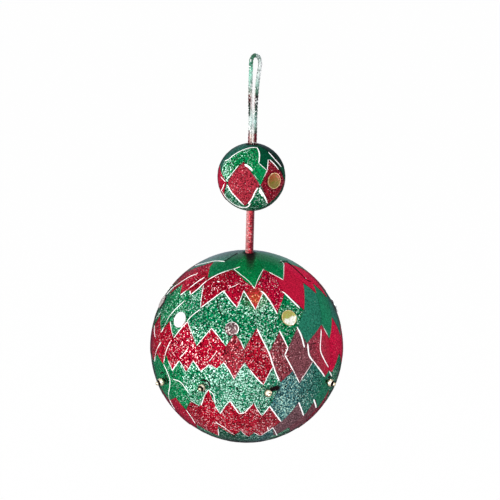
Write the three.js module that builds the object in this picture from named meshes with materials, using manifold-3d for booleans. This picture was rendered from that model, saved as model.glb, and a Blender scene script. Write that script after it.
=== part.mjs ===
// A hanging christmas ball ornament: a large and a small foam ball, covered in cut glitter sheet,
// threaded on one glitter cord that is folded double and knotted under the large ball.
// Millimetres. +Z is up, -Y is the front, and the origin is where the loop hangs on its hook.
import * as THREE from "three";
import { mergeVertices } from "three/addons/utils/BufferGeometryUtils.js";
import Module from "manifold-3d";

const wasm = await Module();
wasm.setup();

// Driving dimensions of the balls and of how they hang
const largeDiameter = 100;
const smallDiameter = 35;
const ballGap = 21.8;
const loopRise = 44; // from the small ball's top up to the hanging point

// Glitter sheet that covers both balls
const sheetThickness = 0.5;
const sheetBedding = 0.6; // glue line between a core and its sheet
const seamGap = 0.8; // open seam between neighbouring rows, measured up the ball
const smallSeamGap = 0.5; // open seam between the small ball's pieces
const creaseDepth = 0.25; // how far a row dips where two of its pieces meet
const columns = 44; // twenty-two pieces in a row, each with a point and a meeting line

// Cord
const strandDiameter = 2.3;
const strandClearance = 0.3; // between the strands where they run together
const cordJoint = 0.3; // between the loop's ends and the strands inside
const jointDepth = 1.5; // how far below the small ball's top that joint lies
const squeezedWidth = 0.62; // share of their width that the soft strands keep inside the balls
const squeezedDepth = 1.1; // and what they gain from front to back

// Spacer tube between the balls
const tubeDiameter = 4.2;
const tubeWall = 0.3;
const tubeInLarge = 12; // length let into the large ball
const tubeInSmall = 8; // length let into the small ball
const tubeClearance = 0.3;

// Bores through the cores
const largeBore = 5;
const smallBore = 4;
const mouthDiameter = 5.8; // both bores open out to this at the top
const largeMouthDepth = 2.5;
const smallMouthDepth = 5;

// Washer and knot let into the large ball's base
const washerDiameter = 7.6;
const washerThickness = 0.8;
const knotDiameter = 6.2;
const knotHeight = 3.6;
const recessClearance = 0.4;
const knotProud = 0.6; // how far the knot shows below the ball

// Mirror discs
const wideDisc = 8.2;
const narrowDisc = 7.2;
const discThickness = 1.1;
const discEdge = 0.6; // height of the straight rim, below the dome
const discBedding = 0.4;

// Gold beads and the pins that hold them
const beadDiameter = 4.2;
const beadHole = 1.4;
const pinDiameter = 0.8;
const pinHole = 1.2;
const pinDepth = 11; // how far the shank reaches into the foam
const pinHeadDiameter = 1.9;
const pinHeadHeight = 0.7;
const pinSeat = 0.2; // between sheet and bead, and between bead and pin head

// Facets round each turned piece, along its arc or along its cord
const largeCoreFacets = { sides: 30, arcs: 15 };
const smallCoreFacets = { sides: 20, arcs: 9 };
const beadFacets = { sides: 8, arcs: 6 };
const discSides = 14;
const pinSides = 8;
const pinHoleSides = 6;
const tubeSides = 16;
const knotSides = 12;
const strandSides = 8;
const loopSteps = 44;
const squeezeSteps = 3; // along the stretch where a strand grows narrow
const smallSheetSteps = 4;

// Derived sizes
const largeRadius = largeDiameter / 2;
const smallRadius = smallDiameter / 2;
const smallTop = -loopRise;
const smallCentre = smallTop - smallRadius;
const largeTop = smallTop - smallDiameter - ballGap;
const largeCentre = largeTop - largeRadius;
const largeBottom = largeTop - largeDiameter;
const sheetBuild = sheetThickness + sheetBedding;
const largeCoreRadius = largeRadius - sheetBuild;
const smallCoreRadius = smallRadius - sheetBuild;
const strandSpread = (strandDiameter + strandClearance) / 2; // from the axis to each strand
const knotBottom = largeBottom - knotProud;
const knotTop = knotBottom + knotHeight;
const washerBottom = knotTop + cordJoint;
const washerTop = washerBottom + washerThickness;
const recessTop = washerTop + cordJoint;
const recessRadius = washerDiameter / 2 + recessClearance;
const tubeBottom = largeTop - tubeInLarge;
const tubeTop = largeTop + ballGap + tubeInSmall;

// Materials: colour, roughness and metalness of each finish
const finish = (color, roughness, metalness) =>
  new THREE.MeshStandardMaterial({ color, roughness, metalness });
const redGlitter = () => finish(0xb5152b, 0.35, 0.25);
const greenGlitter = () => finish(0x0c8a4f, 0.35, 0.25);
const cordGlitter = () => finish(0x3fa583, 0.4, 0.4);
const foam = () => finish(0xf2f2ee, 0.9, 0);
const mirror = () => finish(0xd8d8dc, 0.05, 1);
const gold = () => finish(0xd9ab3c, 0.2, 1);
const steel = () => finish(0xc4c6c8, 0.25, 1);

const ornament = new THREE.Group();

function addPiece(name, geometry, material) {
  const mesh = new THREE.Mesh(geometry, material);
  mesh.name = name;
  ornament.add(mesh);
  return mesh;
}

// Solids for cutting
function toSolid(geometry) {
  const bare = geometry.clone();
  bare.deleteAttribute("normal");
  bare.deleteAttribute("uv");
  const merged = mergeVertices(bare, 1e-4);
  return new wasm.Manifold(
    new wasm.Mesh({
      numProp: 3,
      vertProperties: new Float32Array(merged.attributes.position.array),
      triVerts: new Uint32Array(merged.index.array),
    }),
  );
}

function toGeometry(solid) {
  const mesh = solid.getMesh();
  const geometry = new THREE.BufferGeometry();
  geometry.setAttribute("position", new THREE.BufferAttribute(mesh.vertProperties, 3));
  geometry.setIndex(new THREE.BufferAttribute(mesh.triVerts, 1));
  geometry.computeVertexNormals();
  return geometry;
}

// A solid of revolution about Z from [radius, height] pairs that run anticlockwise round the section
function revolve(profile, sides) {
  const points = profile.map(([radius, height]) => new THREE.Vector2(radius, height));
  return new THREE.LatheGeometry(points, sides).rotateX(Math.PI / 2);
}

const radians = THREE.MathUtils.degToRad;
const mix = (a, b, share) => a + (b - a) * share;
const mixPlace = (a, b, share) => [mix(a[0], b[0], share), mix(a[1], b[1], share)];

// A place on a ball: longitude 0 faces the front and grows to the right, latitude 90 is the top
function onBall(longitude, latitude, radius) {
  const lon = radians(longitude);
  const lat = radians(latitude);
  return new THREE.Vector3(
    radius * Math.cos(lat) * Math.sin(lon),
    -radius * Math.cos(lat) * Math.cos(lon),
    radius * Math.sin(lat),
  );
}

// Turns a geometry built along +Z so that it stands on the ball, pointing out
function standOnBall(geometry, longitude, latitude, centreHeight) {
  const outward = onBall(longitude, latitude, 1);
  const turn = new THREE.Quaternion().setFromUnitVectors(new THREE.Vector3(0, 0, 1), outward);
  return geometry.applyQuaternion(turn).translate(0, 0, centreHeight);
}

// The outer arc of a core's section, from near the bottom to near the top
function coreArc(radius, bottomHole, topHole, steps) {
  const start = -Math.acos(bottomHole / radius);
  const end = Math.acos(topHole / radius);
  return Array.from({ length: steps + 1 }, (_, i) => {
    const angle = start + ((end - start) * i) / steps;
    return [radius * Math.cos(angle), radius * Math.sin(angle)];
  });
}

// Seams between the large ball's rows. Each corner is [column, longitude, latitude]; the corners of
// the front are placed by hand, as the pieces were cut, and the back carries on at an even pitch.
const seams = {
  capToRed: {
    step: 3,
    high: 66,
    low: 52,
    front: [
      [1, -66.2, 66.9], [4, -44.3, 53.7], [6, -21, 63.9], [9, 5.7, 50.1], [11, 20.9, 65.3],
      [13, 37.6, 54.7], [15, 75, 67.5],
    ],
  },
  redToGreen: {
    step: 1,
    high: 47,
    low: 36,
    front: [
      [0, -69.7, 44.3], [1, -61.4, 38.1], [2, -54.9, 42.9], [3, -49.8, 40.1], [4, -44.3, 48],
      [5, -34.3, 33.5], [6, -21.2, 46.6], [7, -7.8, 36.4], [8, -3.4, 48], [9, 5.6, 35.4],
      [10, 12.7, 46.6], [11, 20.6, 32.5], [12, 31.6, 45], [13, 42.9, 33.2], [14, 59.9, 49.8],
      [15, 66.5, 40.6],
    ],
  },
  greenToDiamonds: {
    step: 1,
    high: 23,
    low: 12,
    front: [
      [0, -64.2, 13.4], [1, -58.1, 21.3], [2, -49.5, 12.7], [3, -41.8, 24.3], [4, -30.9, 11.2],
      [5, -22.8, 22.9], [6, -12.4, 13.1], [7, -7.4, 21.1], [8, -1.4, 12.1], [9, 6, 24.4],
      [10, 13.4, 10.4], [11, 20.8, 22.7], [12, 25.2, 12.3], [13, 33.4, 23.6], [14, 38.6, 13.8],
      [15, 54.5, 22.3], [16, 59.4, 13], [17, 71, 24.2],
    ],
  },
  diamondsToGreen: {
    step: 1,
    high: 1,
    low: -7,
    front: [
      [0, -65.7, -0.4], [1, -58.1, -4.5], [2, -54.7, 1.6], [2.5, -48.9, -6.8], [3, -42.5, 0.7],
      [3.5, -37.4, -4.9], [4, -32.3, 2.5], [4.5, -27, -3.2], [5, -22, 1.2], [5.5, -17.3, -0.3],
      [6, -13.4, 3.6], [7, -6.4, -5.7], [8, -1, 4.2], [9, 10.4, -9], [10, 15.4, 1.7],
      [11, 20.9, -7.5], [12, 28, -1.6], [13, 33.5, -9.4], [14, 42.4, 2], [15, 54.3, -9],
      [16, 58.1, -5.7], [17, 62.2, -7.7],
    ],
  },
  greenToRed: {
    step: 1,
    high: -22,
    low: -31,
    front: [
      [0, -63.1, -29.8], [1, -51.3, -24.8], [2, -45.3, -32.5], [3, -37.3, -24.3],
      [4, -31, -26.8], [5, -22.6, -14.1], [6, -17, -30.3], [7, -9.2, -20.2], [8, -2, -29.2],
      [9, 5, -21.4], [10, 11.8, -30.7], [11, 15.8, -23.5], [12, 28, -37.4], [13, 36.1, -22.7],
      [14, 47.6, -35.2], [15, 51, -23], [16, 61.5, -32.5], [17, 65.5, -19.3],
    ],
  },
  redToBase: {
    step: 1,
    high: -45,
    low: -53,
    front: [
      [2, -45, -45.5], [5, -28, -56], [6, -21.2, -42.4], [7, -9.6, -52], [8, -2.9, -45.4],
      [9, 3.8, -53.6], [10, 8.7, -47.5], [11, 16.2, -52.8], [12, 23.2, -42.6],
    ],
  },
};

// All corners of a seam round the ball, ending one turn after the first
function allCorners({ front, step, high, low }) {
  const [firstColumn, firstLongitude, firstLatitude] = front[0];
  const [lastColumn, lastLongitude, lastLatitude] = front[front.length - 1];
  const spans = (firstColumn + columns - lastColumn) / step;
  const pitch = (firstLongitude + 360 - lastLongitude) / spans;
  const middle = (high + low) / 2;
  const back = Array.from({ length: spans - 1 }, (_, i) => {
    const rises = (i % 2 === 0) === (lastLatitude < middle);
    const handCut = 1.2 * Math.sin(7.3 * i + high);
    return [
      lastColumn + (i + 1) * step,
      lastLongitude + (i + 1) * pitch + handCut,
      (rises ? high : low) + handCut,
    ];
  });
  return [...front, ...back, [firstColumn + columns, firstLongitude + 360, firstLatitude]];
}

// Columns at which a row is divided: one at each corner, and one between where pieces are wide or
// carry an extra tooth
const wideSpans = [2, 3, 4, 5, 6, 8, 11, 12, 13, 14];
const cuts = Array.from({ length: columns }, (_, column) =>
  wideSpans.includes(column) ? [column, column + 0.5] : [column],
).flat();

// Longitude and latitude where each cut crosses a seam
function seamLine(seam) {
  const corners = allCorners(seam);
  return cuts.map((cut) => {
    const turned = cut < corners[0][0];
    const column = turned ? cut + columns : cut;
    const next = corners.findIndex(([cornerColumn]) => cornerColumn > column);
    const [fromColumn, ...from] = corners[next - 1];
    const [toColumn, ...to] = corners[next];
    const share = (column - fromColumn) / (toColumn - fromColumn);
    const [longitude, latitude] = mixPlace(from, to, share);
    return [turned ? longitude - 360 : longitude, latitude];
  });
}

// A seam that is a plain circle round a pole, its columns under those of a neighbouring seam
const poleLine = (line, latitude) => line.map(([longitude]) => [longitude, latitude]);

// A row of sheet between two seams. A lathe ring with one side for each column is draped on the
// ball: its height picks the place between the seams and its radius the place in the thickness.
function drapedRow(lowerLine, upperLine, { steps, meetsAt, lowerGap, upperGap }) {
  const heights = Array.from({ length: steps + 1 }, (_, i) => i / steps);
  const section = [
    ...heights.map((h) => [2, h]),
    ...heights.toReversed().map((h) => [1, h]),
    [2, 0],
  ];
  const geometry = revolve(section, cuts.length);
  const position = geometry.attributes.position;
  const inner = largeRadius - sheetThickness;
  for (let i = 0; i < position.count; i++) {
    const x = position.getX(i);
    const y = position.getY(i);
    const turn = Math.atan2(x, -y) / (2 * Math.PI);
    const index = (Math.round(turn * cuts.length) + cuts.length) % cuts.length;
    const outside = Math.hypot(x, y) > 1.5;
    const height = position.getZ(i);
    const [lowLongitude, lowLatitude] = lowerLine[index];
    const [highLongitude, highLatitude] = upperLine[index];
    const longitude = lowLongitude + (highLongitude - lowLongitude) * height;
    const low = lowLatitude + lowerGap;
    const high = highLatitude - upperGap;
    const dip = meetsAt(cuts[index]) ? creaseDepth : 0;
    const radius = outside ? largeRadius - dip : inner;
    const place = onBall(longitude, low + (high - low) * height, radius);
    position.setXYZ(i, place.x, place.y, place.z + largeCentre);
  }
  return geometry;
}

const degreesOf = (length, radius) => THREE.MathUtils.radToDeg(length / radius);
const halfSeam = degreesOf(seamGap / 2, largeRadius);

const seamLines = Object.fromEntries(
  Object.entries(seams).map(([name, seam]) => [name, seamLine(seam)]),
);
const topHole = THREE.MathUtils.radToDeg(
  Math.acos((mouthDiameter / 2 + recessClearance) / largeRadius),
);
const baseHole = THREE.MathUtils.radToDeg(
  Math.acos((recessRadius + recessClearance) / largeRadius),
);
const topLine = poleLine(seamLines.capToRed, topHole);
const baseLine = poleLine(seamLines.redToBase, -baseHole);

// Beads and discs: the front ones sit where they were pinned by hand, the rest follow round
const beadPlaces = [
  [-58.5, -15], [-25.4, -11.8], [13, -12.9], [57.5, -12.3], [117, -13], [158, -12], [201, -13.5],
  [245, -12],
];
const discPlaces = [
  [-47.7, 23.9, wideDisc], [-9.6, 23.3, narrowDisc], [28.4, 29.4, wideDisc], [100, 25, wideDisc],
  [144, 23.5, narrowDisc], [188, 26, wideDisc], [232, 24, wideDisc], [278, 28, narrowDisc],
];
const smallDiscPlaces = [
  [40, 2.4, wideDisc], [220, 3, wideDisc],
];

// Holes for the pins, bored from outside through sheet and foam
const pinHoles = beadPlaces.map(([longitude, latitude]) => {
  const start = largeRadius - pinDepth - pinSeat;
  const length = largeRadius + 1 - start;
  const drill = new THREE.CylinderGeometry(pinHole / 2, pinHole / 2, length, pinHoleSides);
  drill.rotateX(Math.PI / 2).translate(0, 0, start + length / 2);
  return toSolid(standOnBall(drill, longitude, latitude, largeCentre));
});
const boreForPins = (solid) => pinHoles.reduce((left, hole) => left.subtract(hole), solid);

// Large core: drilled through, opened at the top for the tube and cupped below for the knot
function makeLargeCore() {
  const mouth = mouthDiameter / 2;
  const tubeSeat = tubeDiameter / 2 + tubeClearance;
  const bore = largeBore / 2;
  const arc = coreArc(largeCoreRadius, recessRadius, mouth, largeCoreFacets.arcs);
  const seatBottom = tubeBottom - tubeClearance - largeCentre;
  const cupTop = recessTop - largeCentre;
  const profile = [
    ...arc,
    [tubeSeat, largeCoreRadius - largeMouthDepth],
    [tubeSeat, seatBottom],
    [bore, seatBottom - (bore - tubeSeat)],
    [bore, cupTop],
    [recessRadius, cupTop],
    arc[0],
  ];
  const geometry = revolve(profile, largeCoreFacets.sides).translate(0, 0, largeCentre);
  return toGeometry(boreForPins(toSolid(geometry)));
}

// Small core: a seat for the tube below, a narrow bore for the cord and an open mouth above
function makeSmallCore() {
  const mouth = mouthDiameter / 2;
  const tubeSeat = tubeDiameter / 2 + tubeClearance;
  const bore = smallBore / 2;
  const arc = coreArc(smallCoreRadius, tubeSeat, mouth, smallCoreFacets.arcs);
  const mouthBottom = smallTop - smallMouthDepth - smallCentre;
  const seatTop = tubeTop + tubeClearance - smallCentre;
  const profile = [
    ...arc,
    [mouth, mouthBottom],
    [bore, mouthBottom],
    [bore, seatTop],
    [tubeSeat, seatTop],
    arc[0],
  ];
  return revolve(profile, smallCoreFacets.sides).translate(0, 0, smallCentre);
}

// Rows of sheet on the large ball, from the top down
const isEven = (column) => column % 2 === 0;
const isOdd = (column) => column % 2 === 1;
const capNotches = allCorners(seams.capToRed)
  .filter(([, , latitude]) => latitude > (seams.capToRed.high + seams.capToRed.low) / 2)
  .map(([column]) => column % columns);
const rows = [
  {
    name: "large_row_1_green_cap",
    lower: seamLines.capToRed,
    upper: topLine,
    meetsAt: (column) => capNotches.includes(column),
    material: greenGlitter,
    steps: 4,
    upperGap: 0,
  },
  {
    name: "large_row_2_red",
    lower: seamLines.redToGreen,
    upper: seamLines.capToRed,
    meetsAt: isEven,
    material: redGlitter,
  },
  {
    name: "large_row_3_green",
    steps: 4,
    lower: seamLines.greenToDiamonds,
    upper: seamLines.redToGreen,
    meetsAt: isOdd,
    material: greenGlitter,
  },
  {
    name: "large_row_4_red",
    lower: seamLines.diamondsToGreen,
    upper: seamLines.greenToDiamonds,
    meetsAt: isEven,
    material: redGlitter,
  },
  {
    name: "large_row_5_green",
    lower: seamLines.greenToRed,
    upper: seamLines.diamondsToGreen,
    meetsAt: isOdd,
    material: greenGlitter,
    pinned: true,
  },
  {
    name: "large_row_6_red",
    lower: seamLines.redToBase,
    upper: seamLines.greenToRed,
    meetsAt: isEven,
    material: redGlitter,
  },
  {
    name: "large_row_7_green_base",
    lower: baseLine,
    upper: seamLines.redToBase,
    meetsAt: isOdd,
    material: greenGlitter,
    steps: 4,
    lowerGap: 0,
  },
];

function makeRow({ lower, upper, meetsAt, pinned, steps = 3, lowerGap, upperGap }) {
  const row = drapedRow(lower, upper, {
    steps,
    meetsAt,
    lowerGap: lowerGap ?? halfSeam,
    upperGap: upperGap ?? halfSeam,
  });
  return pinned ? toGeometry(boreForPins(toSolid(row))) : row;
}

// A piece of sheet on the small ball: a flat box, its width and height spread between the piece's
// edges by place(u, v) and its depth used for the thickness
function drapedPatch(place, across, up) {
  const geometry = new THREE.BoxGeometry(1, 1, 1, across, up, 1);
  const position = geometry.attributes.position;
  for (let i = 0; i < position.count; i++) {
    const [longitude, latitude] = place(position.getX(i) + 0.5, position.getY(i) + 0.5);
    const outside = position.getZ(i) > 0;
    const radius = outside ? smallRadius : smallRadius - sheetThickness;
    const spot = onBall(longitude, latitude, radius);
    position.setXYZ(i, spot.x, spot.y, spot.z + smallCentre);
  }
  return geometry;
}

// The small ball's pattern: six diamonds whose side corners meet, and petals between their points
const smallPieces = 6;
const smallPitch = 360 / smallPieces;
const firstDiamond = -14.5; // longitude of the diamond that faces the front
const diamondSideGap = 2; // degrees between the side corners of two neighbouring diamonds
const diamondHalfWidth = (smallPitch - diamondSideGap) / 2;
const diamondSideLatitude = -3.5;
const diamondPoints = [
  { topLean: -2.5, top: 35.5, bottomLean: 1, bottom: -47.5 },
  { topLean: -6.5, top: 39, bottomLean: -3, bottom: -43 },
]; // two slightly different diamonds take turns round the ball
const petalSplit = 0.53; // how far up a diamond's left edge the seam between two petals lands
const petalLean = -10; // turn of that seam on its way up to the top
const smallHalfSeam = degreesOf(smallSeamGap / 2, smallRadius);
const smallTopHole = THREE.MathUtils.radToDeg(
  Math.acos((mouthDiameter / 2 + recessClearance) / smallRadius),
);
const smallBaseHole = THREE.MathUtils.radToDeg(
  Math.acos((tubeDiameter / 2 + tubeClearance + recessClearance) / smallRadius),
);

function diamondCorners(index) {
  const middle = firstDiamond + index * smallPitch;
  const { topLean, top, bottomLean, bottom } = diamondPoints[index % diamondPoints.length];
  return {
    left: [middle - diamondHalfWidth, diamondSideLatitude],
    top: [middle + topLean, top],
    right: [middle + diamondHalfWidth, diamondSideLatitude],
    bottom: [middle + bottomLean, bottom],
  };
}

function makeDiamond(index) {
  const { left, top, right, bottom } = diamondCorners(index);
  const centre = mixPlace(mixPlace(left, right, 0.5), mixPlace(top, bottom, 0.5), 0.5);
  const halfHeight = (top[1] - bottom[1]) / 2;
  const toEdge = (diamondHalfWidth * halfHeight) / Math.hypot(diamondHalfWidth, halfHeight);
  const shrink = smallHalfSeam / toEdge;
  const place = (u, v) =>
    mixPlace(mixPlace(mixPlace(bottom, right, u), mixPlace(left, top, u), v), centre, shrink);
  return drapedPatch(place, smallSheetSteps, smallSheetSteps);
}

// A petal between an edge of several corners and a circle round a pole
function makePetal(edge, poleLatitude, lean, seamSide) {
  const spans = edge.length - 1;
  const place = (u, v) => {
    const onEdge = seamSide > 0 ? 1 - v : v;
    const index = Math.min(Math.floor(u * spans + 1e-6), spans - 1);
    const corner = mixPlace(edge[index], edge[index + 1], u * spans - index);
    const start = [corner[0], corner[1] + seamSide * smallHalfSeam * 1.5];
    const [longitude, latitude] = mixPlace([start[0] + lean, poleLatitude], start, onEdge);
    const inset = (smallHalfSeam / Math.cos(radians(latitude))) * (1 - 2 * u);
    const atSeam = u < 0.001 || u > 0.999;
    return [longitude + (atSeam ? inset : 0), latitude];
  };
  return drapedPatch(place, spans, smallSheetSteps);
}

function makeUpperPetal(index) {
  const here = diamondCorners(index);
  const next = diamondCorners(index + 1);
  const meeting = mixPlace(here.right, next.left, 0.5);
  const edge = [
    mixPlace(here.left, here.top, petalSplit),
    here.top,
    mixPlace(here.top, meeting, 0.4),
    mixPlace(here.top, meeting, 0.75),
    meeting,
    mixPlace(next.left, next.top, petalSplit),
  ];
  return makePetal(edge, smallTopHole, petalLean, 1);
}

function makeLowerPetal(index) {
  const here = diamondCorners(index);
  const next = diamondCorners(index + 1);
  const meeting = mixPlace(here.right, next.left, 0.5);
  const edge = [
    here.bottom,
    mixPlace(here.bottom, meeting, 0.5),
    meeting,
    mixPlace(meeting, next.bottom, 0.35),
    mixPlace(meeting, next.bottom, 0.7),
    next.bottom,
  ];
  return makePetal(edge, -smallBaseHole, 0, -1);
}

// A mirror disc: flat back, straight rim and a low dome
function makeDisc([longitude, latitude, diameter], ballRadius, centreHeight) {
  const back = ballRadius + discBedding;
  const radius = diameter / 2;
  const profile = [
    [0, back],
    [radius, back],
    [radius, back + discEdge],
    [radius * 0.6, back + mix(discEdge, discThickness, 0.7)],
    [0, back + discThickness],
  ];
  return standOnBall(revolve(profile, discSides), longitude, latitude, centreHeight);
}

// A gold bead with its hole, seated on the sheet
function makeBead([longitude, latitude]) {
  const arc = coreArc(beadDiameter / 2, beadHole / 2, beadHole / 2, beadFacets.arcs);
  const bead = revolve([...arc, arc[0]], beadFacets.sides);
  bead.translate(0, 0, largeRadius + pinSeat + beadDiameter / 2);
  return standOnBall(bead, longitude, latitude, largeCentre);
}

// The pin through a bead: a pointed shank and a domed head
function makePin([longitude, latitude]) {
  const tip = largeRadius - pinDepth;
  const head = largeRadius + beadDiameter + 2 * pinSeat;
  const shank = pinDiameter / 2;
  const profile = [
    [0, tip],
    [shank, tip + 2 * pinDiameter],
    [shank, head],
    [pinHeadDiameter / 2, head],
    [pinHeadDiameter * 0.35, head + pinHeadHeight * 0.75],
    [0, head + pinHeadHeight],
  ];
  return standOnBall(revolve(profile, pinSides), longitude, latitude, largeCentre);
}

// The tube between the balls
function makeTube() {
  const outer = tubeDiameter / 2;
  const inner = outer - tubeWall;
  const profile = [
    [inner, tubeBottom],
    [outer, tubeBottom],
    [outer, tubeTop],
    [inner, tubeTop],
    [inner, tubeBottom],
  ];
  return revolve(profile, tubeSides);
}

// The hanging loop: two strands up from the small ball, which part near the top and turn a little.
// Each station is a share of the rise, the strands' distance from the middle, how far the pair has
// turned, and how far it leans to the right.
const loopStations = [
  [-jointDepth / loopRise, strandSpread, 0, 0],
  [0.07, strandSpread, 0, 0],
  [0.18, strandSpread, 0, 0],
  [0.3, strandSpread, 0, -0.1],
  [0.43, 1.45, 0, -0.2],
  [0.54, 1.55, 6, -0.2],
  [0.65, 1.8, 18, -0.1],
  [0.76, 2.25, 32, 0.1],
  [0.86, 2.9, 42, 0.4],
  [0.935, 3.3, 46, 0.5],
  [0.993, 2.6, 46, 0.3],
];

function loopPoint([share, spread, turn, lean], side) {
  const angle = radians(turn);
  return new THREE.Vector3(
    side * spread * Math.cos(angle) + lean,
    side * spread * Math.sin(angle),
    smallTop + share * loopRise,
  );
}

function makeLoop() {
  const crown = new THREE.Vector3(0, 0, strandDiameter / 2);
  const left = loopStations.map((station) => loopPoint(station, -1));
  const right = loopStations.map((station) => loopPoint(station, 1)).reverse();
  const section = new THREE.Shape(
    Array.from({ length: strandSides }, (_, i) => {
      const angle = ((i + 0.5) * 2 * Math.PI) / strandSides;
      const radius = strandDiameter / 2;
      return new THREE.Vector2(radius * Math.cos(angle), radius * Math.sin(angle));
    }),
  );
  const extrudePath = new THREE.CatmullRomCurve3([...left, crown, ...right], false, "centripetal");
  return new THREE.ExtrudeGeometry(section, {
    steps: loopSteps,
    extrudePath,
    bevelEnabled: false,
  });
}

// A strand inside the balls, from the loop's end down to the knot: a straight run that is squeezed
// narrow below the small ball's mouth
function makeInnerStrand(side) {
  const start = smallTop - jointDepth - cordJoint;
  const narrow = smallTop - smallMouthDepth;
  const end = knotTop + cordJoint;
  const radius = strandDiameter / 2;
  const heights = [
    end,
    ...Array.from({ length: squeezeSteps + 1 }, (_, i) => mix(narrow, start, i / squeezeSteps)),
  ];
  const profile = [[0, end], ...heights.map((height) => [radius, height]), [0, start]];
  const strand = revolve(profile, strandSides);
  const position = strand.attributes.position;
  for (let i = 0; i < position.count; i++) {
    const open = THREE.MathUtils.smoothstep(position.getZ(i), narrow, start);
    const x = position.getX(i) + side * strandSpread;
    position.setX(i, x * mix(squeezedWidth, 1, open));
    position.setY(i, position.getY(i) * mix(squeezedDepth, 1, open));
  }
  return strand;
}

function makeWasher() {
  const outer = washerDiameter / 2;
  const inner = largeBore / 2;
  const profile = [
    [inner, washerBottom],
    [outer, washerBottom],
    [outer, washerTop],
    [inner, washerTop],
    [inner, washerBottom],
  ];
  return revolve(profile, tubeSides);
}

// The knot: two turns of the doubled cord drawn tight, so its side has two swells
function makeKnot() {
  const radius = knotDiameter / 2;
  const side = (width, height) => [radius * width, knotBottom + knotHeight * height];
  const profile = [
    [0, knotBottom],
    side(0.5, 0),
    side(0.85, 0.12),
    side(1, 0.28),
    side(0.86, 0.5),
    side(1, 0.7),
    side(0.85, 0.9),
    side(0.6, 1),
    [0, knotTop],
  ];
  return revolve(profile, knotSides);
}

// Cord
addPiece("hanging_loop", makeLoop(), cordGlitter());
addPiece("cord_strand_left", makeInnerStrand(-1), cordGlitter());
addPiece("cord_strand_right", makeInnerStrand(1), cordGlitter());
addPiece("end_knot", makeKnot(), cordGlitter());
addPiece("end_washer", makeWasher(), steel());

// Large ball
addPiece("large_core", makeLargeCore(), foam());
addPiece("spacer_tube", makeTube(), redGlitter());
rows.forEach((row) => addPiece(row.name, makeRow(row), row.material()));
discPlaces.forEach((place, i) =>
  addPiece(`mirror_disc_${i + 1}`, makeDisc(place, largeRadius, largeCentre), mirror()),
);
beadPlaces.forEach((place, i) => {
  addPiece(`gold_bead_${i + 1}`, makeBead(place), gold());
  addPiece(`bead_pin_${i + 1}`, makePin(place), gold());
});

// Small ball
addPiece("small_core", makeSmallCore(), foam());
for (let i = 0; i < smallPieces; i++) {
  addPiece(`small_red_diamond_${i + 1}`, makeDiamond(i), redGlitter());
  addPiece(`small_upper_petal_${i + 1}`, makeUpperPetal(i), greenGlitter());
  addPiece(`small_lower_petal_${i + 1}`, makeLowerPetal(i), greenGlitter());
}
smallDiscPlaces.forEach((place, i) =>
  addPiece(`small_disc_${i + 1}`, makeDisc(place, smallRadius, smallCentre), mirror()),
);

export default ornament;
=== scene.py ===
import math
import random

import bpy
from mathutils import Matrix, Quaternion, Vector


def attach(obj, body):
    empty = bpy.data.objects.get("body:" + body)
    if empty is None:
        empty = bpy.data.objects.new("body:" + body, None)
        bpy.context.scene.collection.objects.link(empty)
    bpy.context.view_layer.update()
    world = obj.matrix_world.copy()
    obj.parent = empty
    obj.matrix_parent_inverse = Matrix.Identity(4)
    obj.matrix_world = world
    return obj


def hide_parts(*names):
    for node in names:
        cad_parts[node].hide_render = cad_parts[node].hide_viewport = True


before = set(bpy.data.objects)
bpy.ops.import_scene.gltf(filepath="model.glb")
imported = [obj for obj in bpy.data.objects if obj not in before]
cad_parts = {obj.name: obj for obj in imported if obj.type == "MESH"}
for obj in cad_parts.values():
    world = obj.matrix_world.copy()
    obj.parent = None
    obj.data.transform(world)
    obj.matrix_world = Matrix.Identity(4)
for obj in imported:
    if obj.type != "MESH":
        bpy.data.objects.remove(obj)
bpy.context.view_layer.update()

mm = 0.001

# The two balls, as the frame has them, and how their nodes' cut pieces are named
largeBall = {
    "radius": 0.05, "centre": -0.1508, "body": "large_ball", "rename": ("large_row", "cutRow"),
}
smallBall = {
    "radius": 0.0175, "centre": -0.0615, "body": "small_ball", "rename": ("small_", "cutSmall_"),
}


# Small helpers
def deselectAll():
    active = bpy.context.view_layer.objects.active
    if active and active.mode != "OBJECT":
        bpy.ops.object.mode_set(mode="OBJECT")
    bpy.ops.object.select_all(action="DESELECT")


def choose(*objects):
    deselectAll()
    for obj in objects:
        obj.select_set(True)
    bpy.context.view_layer.objects.active = objects[0]


def newObject(name, data):
    obj = bpy.data.objects.new(name, data)
    bpy.context.scene.collection.objects.link(obj)
    return obj


# The object that an operator has just made, with its name
def named(name):
    obj = bpy.context.view_layer.objects.active
    obj.name = name
    obj.data.name = name
    return obj


def copyOf(source, name):
    duplicate = newObject(name, source.data.copy())
    duplicate.data.name = name
    return duplicate


def remove(obj):
    mesh = obj.data
    bpy.data.objects.remove(obj)
    bpy.data.meshes.remove(mesh)


def applyPlace(obj):
    choose(obj)
    bpy.ops.object.transform_apply(location=True, rotation=True, scale=True)


def applyModifiers(obj):
    choose(obj)
    for modifier in list(obj.modifiers):
        bpy.ops.object.modifier_apply(modifier=modifier.name)


def roundEdges(obj, width, segments, degrees):
    rounding = obj.modifiers.new("edgeRounding", "BEVEL")
    rounding.width = width
    rounding.segments = segments
    rounding.limit_method = "ANGLE"
    rounding.angle_limit = math.radians(degrees)
    applyModifiers(obj)


def smooth(obj, degrees):
    choose(obj)
    bpy.ops.object.shade_smooth_by_angle(angle=math.radians(degrees))


def editOn(obj):
    choose(obj)
    bpy.ops.object.mode_set(mode="EDIT")
    bpy.ops.mesh.select_mode(type="FACE")


def editOff():
    bpy.ops.object.mode_set(mode="OBJECT")


# A face whose normal points up or down more than this is level
levelFace = 0.9


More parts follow.
